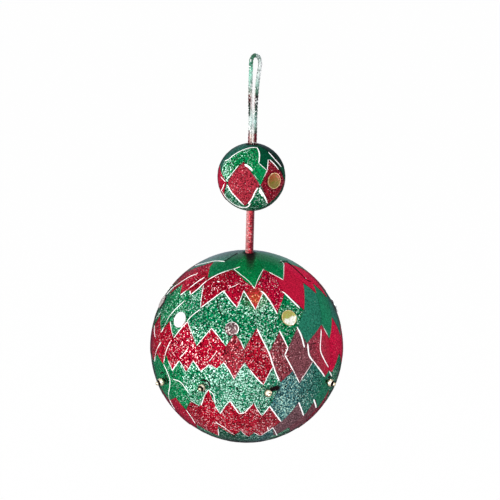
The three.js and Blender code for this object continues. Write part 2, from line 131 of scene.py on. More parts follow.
def selectFaces(obj, test):
    editOff()
    for polygon in obj.data.polygons:
        polygon.select = test(polygon)
    chosen = {i for polygon in obj.data.polygons if polygon.select for i in polygon.vertices}
    for vertex in obj.data.vertices:
        vertex.select = vertex.index in chosen
    bpy.ops.object.mode_set(mode="EDIT")


def faceOutwards():
    bpy.ops.mesh.select_all(action="SELECT")
    bpy.ops.mesh.normals_make_consistent(inside=False)


# Opens a hollow piece at the selected faces, and joins its two open ends by a wall
def openThrough():
    bpy.ops.mesh.delete(type="FACE")
    bpy.ops.mesh.select_mode(type="EDGE")
    bpy.ops.mesh.select_all(action="DESELECT")
    bpy.ops.mesh.select_non_manifold()
    bpy.ops.mesh.bridge_edge_loops()
    faceOutwards()
    editOff()


# Puts a finished piece on its body, in place of its node, with its finish
def joinFrame(obj, body, node):
    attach(obj, body)
    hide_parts(node)


def onBall(longitude, latitude):
    lon, lat = math.radians(longitude), math.radians(latitude)
    return Vector((math.cos(lat) * math.sin(lon), -math.cos(lat) * math.cos(lon), math.sin(lat)))


def onLargeBall(longitude, latitude):
    return onBall(longitude, latitude) * largeBall["radius"] + Vector((0, 0, largeBall["centre"]))


# Moves a mesh built along +Z so that it stands on a ball and points out
def standOnBall(obj, longitude, latitude, ball, height):
    outward = onBall(longitude, latitude)
    turn = Vector((0, 0, 1)).rotation_difference(outward).to_matrix().to_4x4()
    middle = Vector((0, 0, ball["centre"]))
    obj.data.transform(Matrix.Translation(middle + outward * height) @ turn)
    obj.data.update()


# Camera, placed early
cameraValues = {
    "elevation": 12.0,  # degrees above the balls' level
    "roll": 1.6,  # the cord leans right going up
    "distance": 1.5,
    "sensor": 36.0,
    "size": 500,  # pixels across the frame
    "mmPerPixel": 0.5182,
    "aim": (250.0, 250.0),
    "largeBallAt": (246.7, 346.1),  # where the large ball's centre falls in the frame
    "nearest": 0.05,
    "furthest": 20.0,
}


def placeCamera(values):
    data = bpy.data.cameras.new("ornamentCamera")
    data.sensor_width = values["sensor"]
    seenWidth = values["size"] * values["mmPerPixel"] * mm
    data.lens = values["sensor"] * values["distance"] / seenWidth
    data.clip_start = values["nearest"]
    data.clip_end = values["furthest"]
    camera = newObject("ornamentCamera", data)
    tilt = math.radians(values["elevation"])
    back = Vector((0, -math.cos(tilt), math.sin(tilt)))
    right = Vector((1, 0, 0))
    up = right.cross(-back).normalized()
    roll = Quaternion(back, math.radians(values["roll"]))
    right, up = roll @ right, roll @ up
    shiftX = (values["aim"][0] - values["largeBallAt"][0]) * values["mmPerPixel"] * mm
    shiftY = (values["largeBallAt"][1] - values["aim"][1]) * values["mmPerPixel"] * mm
    target = Vector((0, 0, largeBall["centre"])) + right * shiftX + up * shiftY
    place = Matrix((right, up, back)).transposed().to_4x4()
    place.translation = target + back * values["distance"]
    camera.matrix_world = place
    bpy.context.scene.camera = camera


placeCamera(cameraValues)
print("camera placed")


# Node helpers
def wire(tree, source, target):
    tree.links.new(source, target)


# Gives a socket a number, a colour or place, or another node's output
def feed(tree, socket, value):
    if isinstance(value, bpy.types.NodeSocket):
        wire(tree, value, socket)
    elif isinstance(value, (int, float)):
        socket.default_value = value
    else:
        socket.default_value = (*value, 1.0)[:len(socket.default_value)]


def feedAll(tree, node, values):
    for label, value in values.items():
        feed(tree, node.inputs[label], value)


def mathNode(tree, operation, *values):
    node = tree.nodes.new("ShaderNodeMath")
    node.operation = operation
    for socket, value in zip(node.inputs, values):
        feed(tree, socket, value)
    return node.outputs["Value"]


def times(tree, first, second):
    return mathNode(tree, "MULTIPLY", first, second)


def vectorNode(tree, operation, *values, scale=None):
    node = tree.nodes.new("ShaderNodeVectorMath")
    node.operation = operation
    for socket, value in zip(node.inputs, values):
        feed(tree, socket, value)
    if scale is not None:
        feed(tree, node.inputs["Scale"], scale)
    return node.outputs["Value" if operation == "DISTANCE" else "Vector"]


def mixColour(tree, share, first, second):
    node = tree.nodes.new("ShaderNodeMix")
    node.data_type = "RGBA"
    for index, value in zip((0, 6, 7), (share, first, second)):  # the sockets that mix colours
        feed(tree, node.inputs[index], value)
    return node.outputs[2]


# Takes a value from one span to another: low to newLow, high to newHigh
def spread(tree, value, low, high, newLow=0.0, newHigh=1.0):
    node = tree.nodes.new("ShaderNodeMapRange")
    feedAll(tree, node, {
        "Value": value, "From Min": low, "From Max": high, "To Min": newLow, "To Max": newHigh,
    })
    return node.outputs["Result"]


def objectPlace(tree):
    return tree.nodes.new("ShaderNodeTexCoord").outputs["Object"]


def surfaceNormal(tree):
    return tree.nodes.new("ShaderNodeNewGeometry").outputs["Normal"]


def axes(tree, vector):
    node = tree.nodes.new("ShaderNodeSeparateXYZ")
    wire(tree, vector, node.inputs[0])
    return node.outputs


def noiseNode(tree, place, scale, detail=3.0):
    node = tree.nodes.new("ShaderNodeTexNoise")
    feedAll(tree, node, {"Vector": place, "Scale": scale, "Detail": detail})
    return node.outputs["Fac"]


def cellNode(tree, place, scale):
    node = tree.nodes.new("ShaderNodeTexVoronoi")
    feedAll(tree, node, {"Vector": place, "Scale": scale})
    return node.outputs


def bumpNode(tree, height, strength, depth):
    node = tree.nodes.new("ShaderNodeBump")
    feedAll(tree, node, {"Height": height, "Strength": strength, "Distance": depth})
    return node.outputs["Normal"]


def attributeNode(tree, name):
    node = tree.nodes.new("ShaderNodeAttribute")
    node.attribute_name = name
    return node.outputs["Fac"]


# 0 where a face looks at the viewer, 1 where it is seen edge on
def turnedAway(tree):
    node = tree.nodes.new("ShaderNodeLayerWeight")
    node.inputs["Blend"].default_value = 0.5
    return node.outputs["Facing"]


def newGroup(name, inputs, outputs):
    group = bpy.data.node_groups.new(name, "ShaderNodeTree")
    for label, kind, value in inputs:
        socket = group.interface.new_socket(name=label, in_out="INPUT", socket_type=kind)
        socket.default_value = value
    for label, kind in outputs:
        group.interface.new_socket(name=label, in_out="OUTPUT", socket_type=kind)
    entry = group.nodes.new("NodeGroupInput")
    leave = group.nodes.new("NodeGroupOutput")
    return group, entry.outputs, leave.inputs


# Glitter: each flake is a cell with its own shade and its own tilt, and some flash white
def makeGlitterGroup():
    group, given, made = newGroup(
        "glitterFlakes",
        [
            ("Flakes per metre", "NodeSocketFloat", 1200.0),
            ("Flash share", "NodeSocketFloat", 0.2),
            ("Flash fade", "NodeSocketFloat", 0.1),
            ("Tilt", "NodeSocketFloat", 0.4),
        ],
        [
            ("Flash", "NodeSocketFloat"), ("Shade", "NodeSocketFloat"),
            ("Normal", "NodeSocketVector"),
        ],
    )
    flake = cellNode(group, objectPlace(group), given["Flakes per metre"])["Color"]
    parts = group.nodes.new("ShaderNodeSeparateColor")
    wire(group, flake, parts.inputs[0])
    edge = mathNode(group, "SUBTRACT", 1.0, given["Flash share"])
    above = mathNode(group, "SUBTRACT", parts.outputs[0], edge)
    wire(group, spread(group, above, 0.0, given["Flash fade"]), made["Flash"])
    wire(group, parts.outputs[1], made["Shade"])
    centred = vectorNode(group, "SUBTRACT", flake, (0.5, 0.5, 0.5))
    tilted = vectorNode(group, "SCALE", centred, scale=given["Tilt"])
    normal = vectorNode(group, "ADD", surfaceNormal(group), tilted)
    wire(group, vectorNode(group, "NORMALIZE", normal), made["Normal"])
    return group


glitterGroup = makeGlitterGroup()


# The flakes in a material, with its own values
def glitterNode(tree, flakes, tilt, share, fade=0.1):
    node = tree.nodes.new("ShaderNodeGroup")
    node.node_tree = glitterGroup
    feedAll(tree, node, {
        "Flakes per metre": flakes, "Tilt": tilt, "Flash share": share, "Flash fade": fade,
    })
    return node.outputs


def newMaterial(name):
    material = bpy.data.materials.new(name)
    material.use_nodes = True
    tree = material.node_tree
    return material, tree, tree.nodes["Principled BSDF"]


# What the two colours of glitter sheet share
sheetLooks = {
    "tilt": 0.6,
    "metallic": 0.08,
    "roughness": 0.4,
    "specular": 0.0,
    "patches": 90.0,  # scale of the patches that sparkle more or less
    "patchEnds": (0.35, 0.65),  # noise at which a patch is at its dullest and its brightest
    "patchy": (0.7, 1.2),  # the least and the most that they change the sparkle
    "turned": (0.25, 0.75),  # shades of the flakes turned away from the light and to it
    "dullDepth": 0.4,  # share of the shadows' depth on a piece that doesn't sparkle
    "fullDepth": 0.5,  # sparkle from which the shadows have their full depth
    "flashEnds": (0.6, 0.92),  # how far a face turns away while its flakes stop flashing
    "rimFrom": 0.55,  # how far a face turns away before the painted rim shade comes in
    "livelyRim": 0.3,  # share of that painted shade on a lively piece
    "upward": (0.72, 0.92),  # faces that point up this much take the top's painted grey reflection
    "smallFrom": (-0.085, -0.08),  # heights at which the small ball's share of it starts
    "smallShare": 0.35,
    "outlineAt": (0.78, 0.93),  # how far a face turns away as the painted dark outline comes in
    "outline": 0.85,
    "paintedOutlineShade": (0.03, 0.008, 0.025),
    "boreColour": (0.016, 0.006, 0.01),
    "boreCore": 0.5,  # share of a shade's reach over which it is full
}
# Painted reflection: near this spot on the second row the flakes and the colour between them are
# tinted as if they mirrored a candle-coloured light
paintedWarmReflection = {
    "place": onLargeBall(6.0, 42.5),
    "reach": 8.0 * mm,
    "flash": (1.0, 0.62, 0.2),
    "ground": (0.8, 0.2, 0.03),
    "groundShare": 0.3,
}
# Round the bore at the top the sheet lies in the tube's shade: place, reach and depth
boreShades = [
    (onLargeBall(5.0, 87.0), 4.6 * mm, 0.97), (onLargeBall(5.0, 82.0), 3.8 * mm, 0.95),
    (onLargeBall(4.0, 78.0), 3.3 * mm, 0.9), (onLargeBall(3.0, 74.0), 3.0 * mm, 0.75),
    (onLargeBall(2.0, 70.0), 2.8 * mm, 0.5), (onLargeBall(2.0, 66.5), 2.4 * mm, 0.3),
]


# Glitter sheet: two shades of its colour, flakes that flash, and a finish that each piece carries
def makeGlitterSheet(name, values):
    looks = sheetLooks
    material, tree, shader = newMaterial(name)
    finishes = ("tone", "sparkle", "lively", "dim")
    tone, sparkle, lively, dim = (attributeNode(tree, label) for label in finishes)
    place = objectPlace(tree)
    patches = noiseNode(tree, place, looks["patches"], detail=2.0)
    patchy = spread(tree, patches, *looks["patchEnds"], *looks["patchy"])
    share = times(tree, times(tree, sparkle, patchy), values["flash"])
    flakes = glitterNode(tree, values["flakes"], looks["tilt"], share, values["fade"])
    coat = mixColour(tree, tone, values["bright"], values["muted"])
    coat = mixColour(tree, lively, coat, values["lively"])
    coat = mixColour(tree, dim, coat, values["dim"])
    dullDepth = values["depth"] * looks["dullDepth"]
    depth = spread(tree, sparkle, 0.0, looks["fullDepth"], dullDepth, values["depth"])
    shadow = mixColour(tree, depth, coat, (0.0, 0.0, 0.0))
    ground = mixColour(tree, spread(tree, flakes["Shade"], *looks["turned"]), shadow, coat)
    # the painted warm reflection round that spot
    gap = vectorNode(tree, "DISTANCE", place, paintedWarmReflection["place"])
    paintedWarmth = spread(tree, gap, 0.0, paintedWarmReflection["reach"], values["paintedWarmth"], 0.0)
    flashColour = mixColour(tree, paintedWarmth, values["flashColour"], paintedWarmReflection["flash"])
    paintedGroundWarmth = times(tree, paintedWarmth, paintedWarmReflection["groundShare"])
    ground = mixColour(tree, paintedGroundWarmth, ground, paintedWarmReflection["ground"])
    # painted shade: seen at a low angle the colour darkens, as where the flakes shade each other,
    # and the top of a ball greys over with a painted grey reflection
    away = turnedAway(tree)
    # painted highlight: the flakes that flash, where a face looks at the viewer, take a pale colour
    # and a glow of their own
    lit = times(tree, flakes["Flash"], spread(tree, away, *looks["flashEnds"], 1.0, 0.0))
    colour = mixColour(tree, lit, ground, flashColour)
    calm = spread(tree, lively, 0.0, 1.0, 1.0, looks["livelyRim"])
    rim = times(tree, spread(tree, away, looks["rimFrom"], 1.0, 0.0, values["rim"]), calm)
    upward = spread(tree, axes(tree, surfaceNormal(tree))["Z"], *looks["upward"])
    height = axes(tree, place)["Z"]
    share = spread(tree, height, *looks["smallFrom"], 1.0, looks["smallShare"])
    upward = times(tree, upward, share)
    paintedRimColour = mixColour(tree, upward, values["paintedRimColour"], values["paintedTopReflection"])
    colour = mixColour(tree, rim, colour, paintedRimColour)
    for spot, reach, darkness in boreShades:
        gap = vectorNode(tree, "DISTANCE", place, spot)
        shade = spread(tree, gap, reach * looks["boreCore"], reach, darkness, 0.0)
        colour = mixColour(tree, shade, colour, looks["boreColour"])
    # painted shade: a dark outline where a face is seen edge on, less where it points up
    outline = times(
        tree, spread(tree, away, *looks["outlineAt"], 0.0, looks["outline"]),
        mathNode(tree, "SUBTRACT", 1.0, upward),
    )
    feedAll(tree, shader, {
        "Base Color": mixColour(tree, outline, colour, looks["paintedOutlineShade"]),
        "Metallic": spread(tree, lit, 0.0, 1.0, looks["metallic"], 1.0),
        "Roughness": looks["roughness"],
        "Specular IOR Level": looks["specular"],
        "Emission Color": mixColour(tree, lit, (0.0, 0.0, 0.0), flashColour),
        "Emission Strength": values["glint"],
        "Normal": flakes["Normal"],
    })
    return material


greenSheet = makeGlitterSheet("greenGlitterSheet", {
    "flakes": 2050.0,  # to a metre
    "flash": 0.37,  # share of them that flash, on a piece that sparkles fully
    "fade": 0.28,
    "depth": 0.95,  # how dark the flakes turned from the light are
    "bright": (0.002, 0.27, 0.1),
    "muted": (0.085, 0.23, 0.29),
    "lively": (0.004, 0.34, 0.09),
    "dim": (0.002, 0.02, 0.015),
    "flashColour": (0.62, 1.0, 0.84),
    "glint": 0.15,  # painted highlight: how much the flashing flakes glow by themselves
    "paintedWarmth": 0.3,
    "rim": 0.8,
    "paintedRimColour": (0.01, 0.03, 0.03),
    "paintedTopReflection": (0.3, 0.33, 0.4),
})
redSheet = makeGlitterSheet("redGlitterSheet", {
    "flakes": 2400.0,
    "flash": 0.11,
    "fade": 0.07,
    "depth": 0.9,
    "bright": (0.56, 0.006, 0.03),
    "muted": (0.24, 0.12, 0.14),
    "lively": (0.84, 0.01, 0.075),
    "dim": (0.05, 0.0, 0.012),
    "flashColour": (1.0, 0.6, 0.62),
    "glint": 0.25,
    "paintedWarmth": 1.0,
    "rim": 0.75,
    "paintedRimColour": (0.06, 0.01, 0.03),
    "paintedTopReflection": (0.3, 0.1, 0.16),
})


# The sheet's paper side and its cut edge: white, with a soft fibre to it
paperValues = {
    "fibre": 2600.0,
    "colours": ((0.9, 0.9, 0.88), (1.0, 1.0, 1.0)),
    "bump": (0.3, 0.1 * mm),  # strength and depth
    "roughness": 0.75,
    "glow": 0.25,  # a painted glow that keeps the edges white on the shaded side
}


def makePaper(values):
    material, tree, shader = newMaterial("whitePaperEdge")
    fibre = noiseNode(tree, objectPlace(tree), values["fibre"], detail=4.0)
    feedAll(tree, shader, {
        "Base Color": mixColour(tree, fibre, *values["colours"]),
        "Normal": bumpNode(tree, fibre, *values["bump"]),
        "Roughness": values["roughness"],
        "Emission Color": (1.0, 1.0, 1.0),
        "Emission Strength": values["glow"],
    })
    return material


paperEdge = makePaper(paperValues)


# Painted shade and shadow: a near-black material for the cracks between sheets, beside some white
# edges and the beads, and in the beads' holes
paintedShadowValues = {
    "grain": 1200.0,
    "colours": ((0.002, 0.002, 0.002), (0.015, 0.005, 0.006)),
    "roughness": 0.7,
    "specular": 0.05,
}


def makePaintedShadow(values):
    material, tree, shader = newMaterial("paintedShadowStrip")
    grain = noiseNode(tree, objectPlace(tree), values["grain"])
    feedAll(tree, shader, {
        "Base Color": mixColour(tree, grain, *values["colours"]),
        "Roughness": values["roughness"],
        "Specular IOR Level": values["specular"],
    })
    return material


paintedShadowStrip = makePaintedShadow(paintedShadowValues)


# Foam: small pressed cells, with painted shade darkening it round the bore's mouth
foamValues = {
    "cells": 420.0,
    "colours": ((0.9, 0.9, 0.87), (0.74, 0.74, 0.72)),
    "paintedMouthShade": (2.9 * mm, 3.8 * mm),  # how far from the bore's middle it starts to fade and ends
    "paintedMouthShadeColour": (0.05, 0.012, 0.015),
    "bump": (0.5, 0.3 * mm),
    "roughness": 0.85,
}


def makeFoam(values):
    material, tree, shader = newMaterial("whiteFoam")
    place = objectPlace(tree)
    cells = cellNode(tree, place, values["cells"])["Distance"]
    across = axes(tree, place)
    squares = [mathNode(tree, "POWER", across[axis], 2.0) for axis in ("X", "Y")]
    reach = mathNode(tree, "SQRT", mathNode(tree, "ADD", *squares))
    # painted shade: the foam turns dark towards the bore, where shade falls in the mouth
    paintedMouthShade = spread(tree, reach, *values["paintedMouthShade"], 1.0, 0.0)
    colour = mixColour(tree, cells, *values["colours"])
    feedAll(tree, shader, {
        "Base Color": mixColour(tree, paintedMouthShade, colour, values["paintedMouthShadeColour"]),
        "Normal": bumpNode(tree, cells, *values["bump"]),
        "Roughness": values["roughness"],
    })
    return material


foam = makeFoam(foamValues)


# Foil on the mirror discs: a low and a high tint that meet along a line, a painted reflection of
# light and dark surroundings, with scuffs of a third
foilLooks = {
    "wander": 4.0 * mm,  # how far the line wanders
    "lineNoise": 500.0,
    "scuffNoise": 1100.0,
    "scuffEnds": (0.52, 0.62),  # noise at which a scuff starts and is full
    "blurEnds": (0.4, 0.7),
    "blurrier": 0.2,  # how much rougher the foil is where it is scuffed
    "metallic": 0.9,
    "coat": 0.3,
}
foilValues = {
    "silverFoil": {
        "low": (0.97, 0.97, 0.98), "high": (0.93, 0.94, 0.97), "scuff": (0.9, 0.9, 0.93),
        "line": -0.128, "slant": 0.0, "blend": 1.2 * mm, "scuffs": 0.5, "blur": 0.08,
    },
    "mauveFoil": {
        "low": (0.13, 0.055, 0.06), "high": (0.09, 0.04, 0.045), "scuff": (0.7, 0.64, 0.62),
        "line": -0.1325, "slant": 0.0, "blend": 1.2 * mm, "scuffs": 0.8, "blur": 0.3,
    },
    "mauveRim": {
        "low": (0.05, 0.02, 0.02), "high": (0.85, 0.82, 0.8), "scuff": (0.4, 0.35, 0.34),
        "line": -0.1352, "slant": 0.6, "blend": 0.8 * mm, "scuffs": 0.3, "blur": 0.2,
    },
    "goldFoil": {
        "low": (0.97, 0.95, 0.9), "high": (0.41, 0.36, 0.085), "scuff": (0.34, 0.5, 0.12),
        "line": -0.1322, "slant": -0.3, "blend": 0.6 * mm, "scuffs": 0.6, "blur": 0.15,
    },
    "bronzeFoil": {
        "low": (0.26, 0.17, 0.035), "high": (0.34, 0.085, 0.03), "scuff": (0.15, 0.2, 0.02),
        "line": -0.0605, "slant": 0.0, "blend": 1.5 * mm, "scuffs": 0.8, "blur": 0.5,
    },
    "rimFoil": {
        "low": (0.7, 0.5, 0.24), "high": (0.62, 0.4, 0.2), "scuff": (0.8, 0.7, 0.4),
        "line": -0.0605, "slant": 0.0, "blend": 1.2 * mm, "scuffs": 0.5, "blur": 0.3,
    },
}


def makeFoil(name, values):
    material, tree, shader = newMaterial(name)
    place = objectPlace(tree)
    across = axes(tree, place)
    wander = times(tree, noiseNode(tree, place, foilLooks["lineNoise"]), foilLooks["wander"])
    level = mathNode(tree, "ADD", across["Z"], wander)
    level = mathNode(tree, "ADD", level, times(tree, across["X"], values["slant"]))
    line = values["line"] + foilLooks["wander"] / 2
    share = spread(tree, level, line - values["blend"], line + values["blend"])
    colour = mixColour(tree, share, values["low"], values["high"])
    scuffs = noiseNode(tree, place, foilLooks["scuffNoise"])
    scuffed = spread(tree, scuffs, *foilLooks["scuffEnds"], 0.0, values["scuffs"])
    blurs = (values["blur"], values["blur"] + foilLooks["blurrier"])
    feedAll(tree, shader, {
        "Base Color": mixColour(tree, scuffed, colour, values["scuff"]),
        "Roughness": spread(tree, scuffs, *foilLooks["blurEnds"], *blurs),
        "Metallic": foilLooks["metallic"],
        "Coat Weight": foilLooks["coat"],
    })
    return material


foils = {name: makeFoil(name, values) for name, values in foilValues.items()}


# Polished metal: a painted highlight, pale where it faces the viewer, its colour further out, and a
# painted dark reflection at its sides, of the unlit part of the room
metalLooks = {
    "rub": 1800.0,
    "deep": 0.7,  # share of its colour where it is least rubbed
    "pale": (1.0, 0.97, 0.86),
    "paleShare": 0.85,
    "paleEnds": (0.02, 0.2),  # how far a face turns away while the pale fades
    "dark": (0.02, 0.012, 0.005),
    "darkStarts": (0.18, 0.5),
    "rubEnds": (0.3, 0.7),
    "rougher": 0.2,  # where it is rubbed
    "metallic": 0.95,
}


def makeMetal(name, colour, roughness, darkness):
    looks = metalLooks
    material, tree, shader = newMaterial(name)
    rub = noiseNode(tree, objectPlace(tree), looks["rub"], detail=4.0)
    body = mixColour(tree, rub, colour, tuple(channel * looks["deep"] for channel in colour))
    away = turnedAway(tree)
    paleness = spread(tree, away, *looks["paleEnds"], looks["paleShare"], 0.0)
    body = mixColour(tree, paleness, body, looks["pale"])
    shade = spread(tree, away, *looks["darkStarts"], 0.0, darkness)
    feedAll(tree, shader, {
        "Base Color": mixColour(tree, shade, body, looks["dark"]),
        "Roughness": spread(tree, rub, *looks["rubEnds"], roughness, roughness + looks["rougher"]),
        "Metallic": looks["metallic"],
    })
    return material


beadGold = makeMetal("beadGold", colour=(0.95, 0.84, 0.57), roughness=0.12, darkness=0.85)
pinBrass = makeMetal("pinBrass", colour=(0.9, 0.74, 0.42), roughness=0.2, darkness=0.7)
washerSteel = makeMetal("washerSteel", colour=(0.62, 0.62, 0.64), roughness=0.3, darkness=0.4)


# Glitter cord: bands of colour along its height, for its left side, its middle and its right side.
# The pale middle is a painted highlight and the darker sides are painted shade.
leftBands = [
    (0.0, (0.16, 0.0, 0.015)), (0.09, (0.2, 0.0, 0.02)), (0.13, (0.2, 0.12, 0.13)),
    (0.18, (0.7, 0.8, 0.78)), (0.3, (0.7, 0.82, 0.8)), (0.34, (0.0, 0.03, 0.015)),
    (0.42, (0.0, 0.02, 0.01)), (0.47, (0.03, 0.0, 0.0)), (0.53, (0.12, 0.01, 0.015)),
    (0.58, (0.35, 0.36, 0.32)), (0.64, (0.2, 0.36, 0.3)), (0.72, (0.42, 0.7, 0.6)),
    (0.8, (0.35, 0.75, 0.6)), (0.88, (0.08, 0.34, 0.22)), (1.0, (0.02, 0.14, 0.07)),
]
middleBands = [
    (0.0, (0.95, 0.66, 0.62)), (0.09, (1.0, 0.88, 0.8)), (0.13, (0.95, 0.97, 0.94)),
    (0.25, (0.72, 0.92, 0.9)), (0.34, (0.82, 0.96, 0.92)), (0.43, (0.95, 0.84, 0.84)),
    (0.52, (0.96, 0.86, 0.86)), (0.57, (0.92, 0.95, 0.86)), (0.66, (0.75, 0.87, 0.83)),
    (0.72, (0.38, 0.6, 0.52)), (0.8, (0.35, 0.75, 0.6)), (0.88, (0.12, 0.42, 0.28)),
    (0.95, (0.04, 0.24, 0.13)), (1.0, (0.02, 0.14, 0.07)),
]
rightBands = [
    (0.0, (0.09, 0.0, 0.006)), (0.09, (0.12, 0.0, 0.01)), (0.12, (0.02, 0.01, 0.012)),
    (0.16, (0.12, 0.18, 0.15)), (0.25, (0.28, 0.45, 0.42)), (0.32, (0.08, 0.17, 0.14)),
    (0.38, (0.02, 0.07, 0.05)), (0.46, (0.0, 0.004, 0.002)), (0.54, (0.004, 0.004, 0.004)),
    (0.58, (0.06, 0.16, 0.11)), (0.66, (0.3, 0.5, 0.43)), (0.75, (0.6, 0.72, 0.7)),
    (0.88, (0.82, 0.88, 0.87)), (1.0, (0.3, 0.45, 0.4)),
]


cordLooks = {
    "heights": (-41.5 * mm, 3.5 * mm),  # of the bands' lower and upper end
    "wander": 5.0 * mm,  # how far the bands' ends wander up and down
    "wanderNoise": 500.0,
    "leftEnds": (-1.7 * mm, -1.1 * mm),  # sideways, where the left bands fade into the middle ones
    "rightStarts": (0.4 * mm, 1.0 * mm),
    "flakes": (1500.0, 0.8, 0.16),  # to a metre, tilt and share that flash
    "turned": (0.1, 0.4),
    "shadow": 0.6,
    "flashColour": (0.92, 0.98, 0.96),
}
# The cord and the tube carry the same kind of flakes
looseGlitter = {"Metallic": 0.15, "Roughness": 0.35, "Specular IOR Level": 0.2}


def bandNode(tree, share, bands):
    ramp = tree.nodes.new("ShaderNodeValToRGB")
    elements = ramp.color_ramp.elements
    elements[0].position, elements[1].position = bands[0][0], bands[-1][0]
    for position, _ in bands[1:-1]:
        elements.new(position)
    for element, (_, colour) in zip(elements, bands):
        element.color = (*colour, 1.0)
    wire(tree, share, ramp.inputs["Fac"])
    return ramp.outputs["Color"]


def makeCordMaterial(looks):
    material, tree, shader = newMaterial("bandedGlitterCord")
    place = objectPlace(tree)
    across = axes(tree, place)
    wander = times(tree, noiseNode(tree, place, looks["wanderNoise"], detail=2.0), looks["wander"])
    share = spread(tree, mathNode(tree, "ADD", across["Z"], wander), *looks["heights"])
    # painted shade on the cord's two sides, painted highlight in its middle
    left = spread(tree, across["X"], *looks["leftEnds"], 1.0, 0.0)
    right = spread(tree, across["X"], *looks["rightStarts"])
    middleColour = bandNode(tree, share, middleBands)
    ground = mixColour(tree, left, middleColour, bandNode(tree, share, leftBands))
    ground = mixColour(tree, right, ground, bandNode(tree, share, rightBands))
    flakes = glitterNode(tree, *looks["flakes"])
    turned = spread(tree, flakes["Shade"], *looks["turned"], looks["shadow"], 0.0)
    ground = mixColour(tree, turned, ground, (0.0, 0.0, 0.0))
    feedAll(tree, shader, {
        "Base Color": mixColour(tree, flakes["Flash"], ground, looks["flashColour"]),
        "Normal": flakes["Normal"],
        **looseGlitter,
    })
    return material


cordGlitter = makeCordMaterial(cordLooks)


# Glitter paper of the tube, with a painted highlight on its left side and painted shade on its
# right
tubeLooks = {
    "flakes": (1700.0, 0.6, 0.12),
    "turned": (0.3, 0.7),
    "shades": ((0.13, 0.002, 0.01), (0.68, 0.045, 0.07)),
    "paintedLeftHighlight": (-1.7 * mm, -0.1 * mm, 0.45, 0.0),  # from and to, sideways, and its strength there
    "paintedLeftHighlightColour": (0.85, 0.44, 0.43),
    # painted shade down the right side: from and to, sideways, and its strength there
    "overlap": (0.6 * mm, 1.4 * mm, 0.0, 0.88),
    "paintedRightShadeColour": (0.1, 0.0, 0.012),
    "flashColour": (0.95, 0.58, 0.58),
}


def makeTubeMaterial(looks):
    material, tree, shader = newMaterial("redGlitterTube")
    flakes = glitterNode(tree, *looks["flakes"])
    turned = spread(tree, flakes["Shade"], *looks["turned"])
    ground = mixColour(tree, turned, *looks["shades"])
    sideways = axes(tree, objectPlace(tree))["X"]
    paintedLeftHighlight = spread(tree, sideways, *looks["paintedLeftHighlight"])
    ground = mixColour(tree, paintedLeftHighlight, ground, looks["paintedLeftHighlightColour"])
    colour = mixColour(tree, flakes["Flash"], ground, looks["flashColour"])
    # painted shade down the tube's right side
    overlap = spread(tree, sideways, *looks["overlap"])
    feedAll(tree, shader, {
        "Base Color": mixColour(tree, overlap, colour, looks["paintedRightShadeColour"]),
        "Normal": flakes["Normal"],
        **looseGlitter,
    })
    return material


tubeGlitter = makeTubeMaterial(tubeLooks)
print("materials made")


